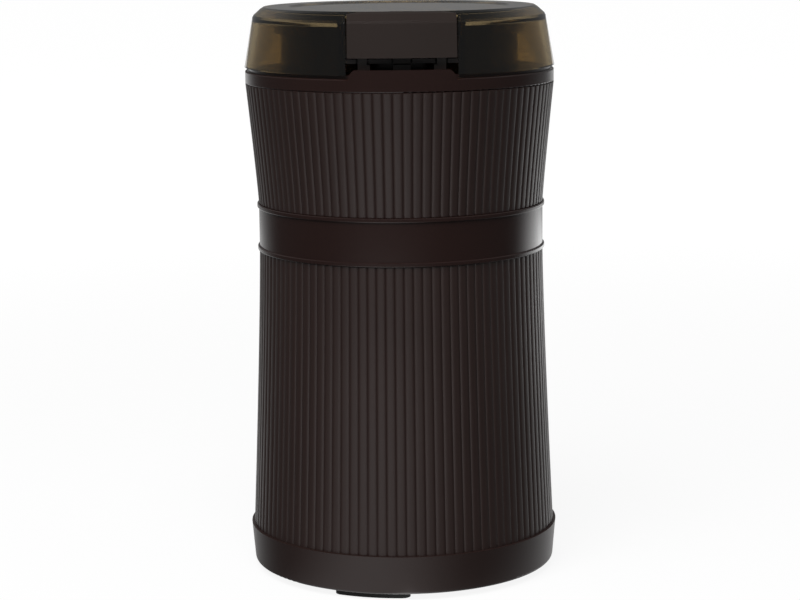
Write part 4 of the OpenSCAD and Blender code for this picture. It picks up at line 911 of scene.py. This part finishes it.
def painted_front_pool(f, at):
    """A painted pool of light: a wedge on the floor in front, a little to the left, falling off
    round it, which shows only in reflections. Angles are in radians, 0 straight in front of the
    part."""
    turn = f.add("Math", {"operation": "ARCTAN2"}, {0: f.along("X", at),
        1: f.along("Y", at) * -1.0})
    away = f.length(at)
    sector = f.fade(turn, -1.15, -0.35) * f.fade(turn, 0.6, -0.25)
    return sector * f.fade(away, 0.52, 0.3) * f.fade(away, 0.1, 0.32, 0.8, 2.1)


world = bpy.data.worlds.new("studio")
bpy.context.scene.world = world
f = Finish(world)
toward = f.add("TexCoord", out="Generated")
rise = f.along("Z", toward)
overhead = f.fade(rise, 0.2, 0.5) * f.fade(rise, 0.9, 0.55)
white = seen(f, f.fade(f.along("Y", toward), 0.0, 0.5))
room = 0.24 * (1 - white - mirrored(f))
backdrop = mirrored(f) * (0.2 + 0.15 * overhead)
f.add("OutputWorld", {}, {"Surface": f.add("Background", {}, {"Strength": 1.0,
    "Color": white + backdrop + room})})

floor_radii, sides = (0.3, 1.0, 3.0, 9.0), 96
floor_points, floor_faces = [(0, 0, 0)], []
for r in floor_radii:
    for i in range(sides):
        a = math.tau * i / sides
        floor_points.append((r * math.cos(a), r * math.sin(a), 0))
for i in range(sides):
    j = (i + 1) % sides
    floor_faces.append((0, 1 + i, 1 + j))
    for ring in range(len(floor_radii) - 1):
        start = 1 + ring * sides
        floor_faces.append((start + i, start + sides + i, start + sides + j, start + j))
floor_mesh = bpy.data.meshes.new("floor")
floor_mesh.from_pydata(floor_points, [], floor_faces)
floor = link("floor", floor_mesh)
f = new_finish("pale_floor")
at = f.place()
paper = f.add("BsdfDiffuse", {}, {"Color": f.tone(f.noise(at, 4.0), (0.28, 0.28, 0.28),
    (0.3, 0.3, 0.3))})
white = seen(f, f.fade(f.along("Y", at), 0.0, 0.3))
pale = f.fade(f.length(at), 0.2, 1.0, 1.19, 1.3)
# In reflections the floor glows with painted light: painted bright patches at the back and the
# right and a painted pool in front, over a faint even glow.
glow = f.add("Emission", {}, {"Strength": 1.0,
    "Color": pale * white + mirrored(f) * (0.08 + painted_bright_side(f, at) + painted_front_pool(f, at))})
f.add("OutputMaterial", {}, {"Surface": f.add("MixShader", {},
    {0: 0.75 * white + mirrored(f), 1: paper, 2: glow})})
floor.data.materials.append(f.owner)

eye_turn, eye_down, eye_roll = -1.0, 9.69, -0.57    # degrees round the part, down and aslant
eye_back, eye_height = 0.690, 0.1977                # metres
picture_width = 800
eye = bpy.data.cameras.new("eye")
eye.sensor_width = 36.0
eye.lens = 105.0
eye.shift_x = -1.73 / picture_width
eye.clip_start = 0.01
eye.clip_end = 50.0
camera = link("camera", eye)
camera.matrix_world = (Matrix.Rotation(math.radians(eye_turn), 4, "Z")
    @ Matrix.Translation((0, -eye_back, eye_height))
    @ Matrix.Rotation(math.radians(90 - eye_down), 4, "X")
    @ Matrix.Rotation(math.radians(eye_roll), 4, "Z"))
scene = bpy.context.scene
scene.view_settings.view_transform = "Standard"
scene.camera = camera
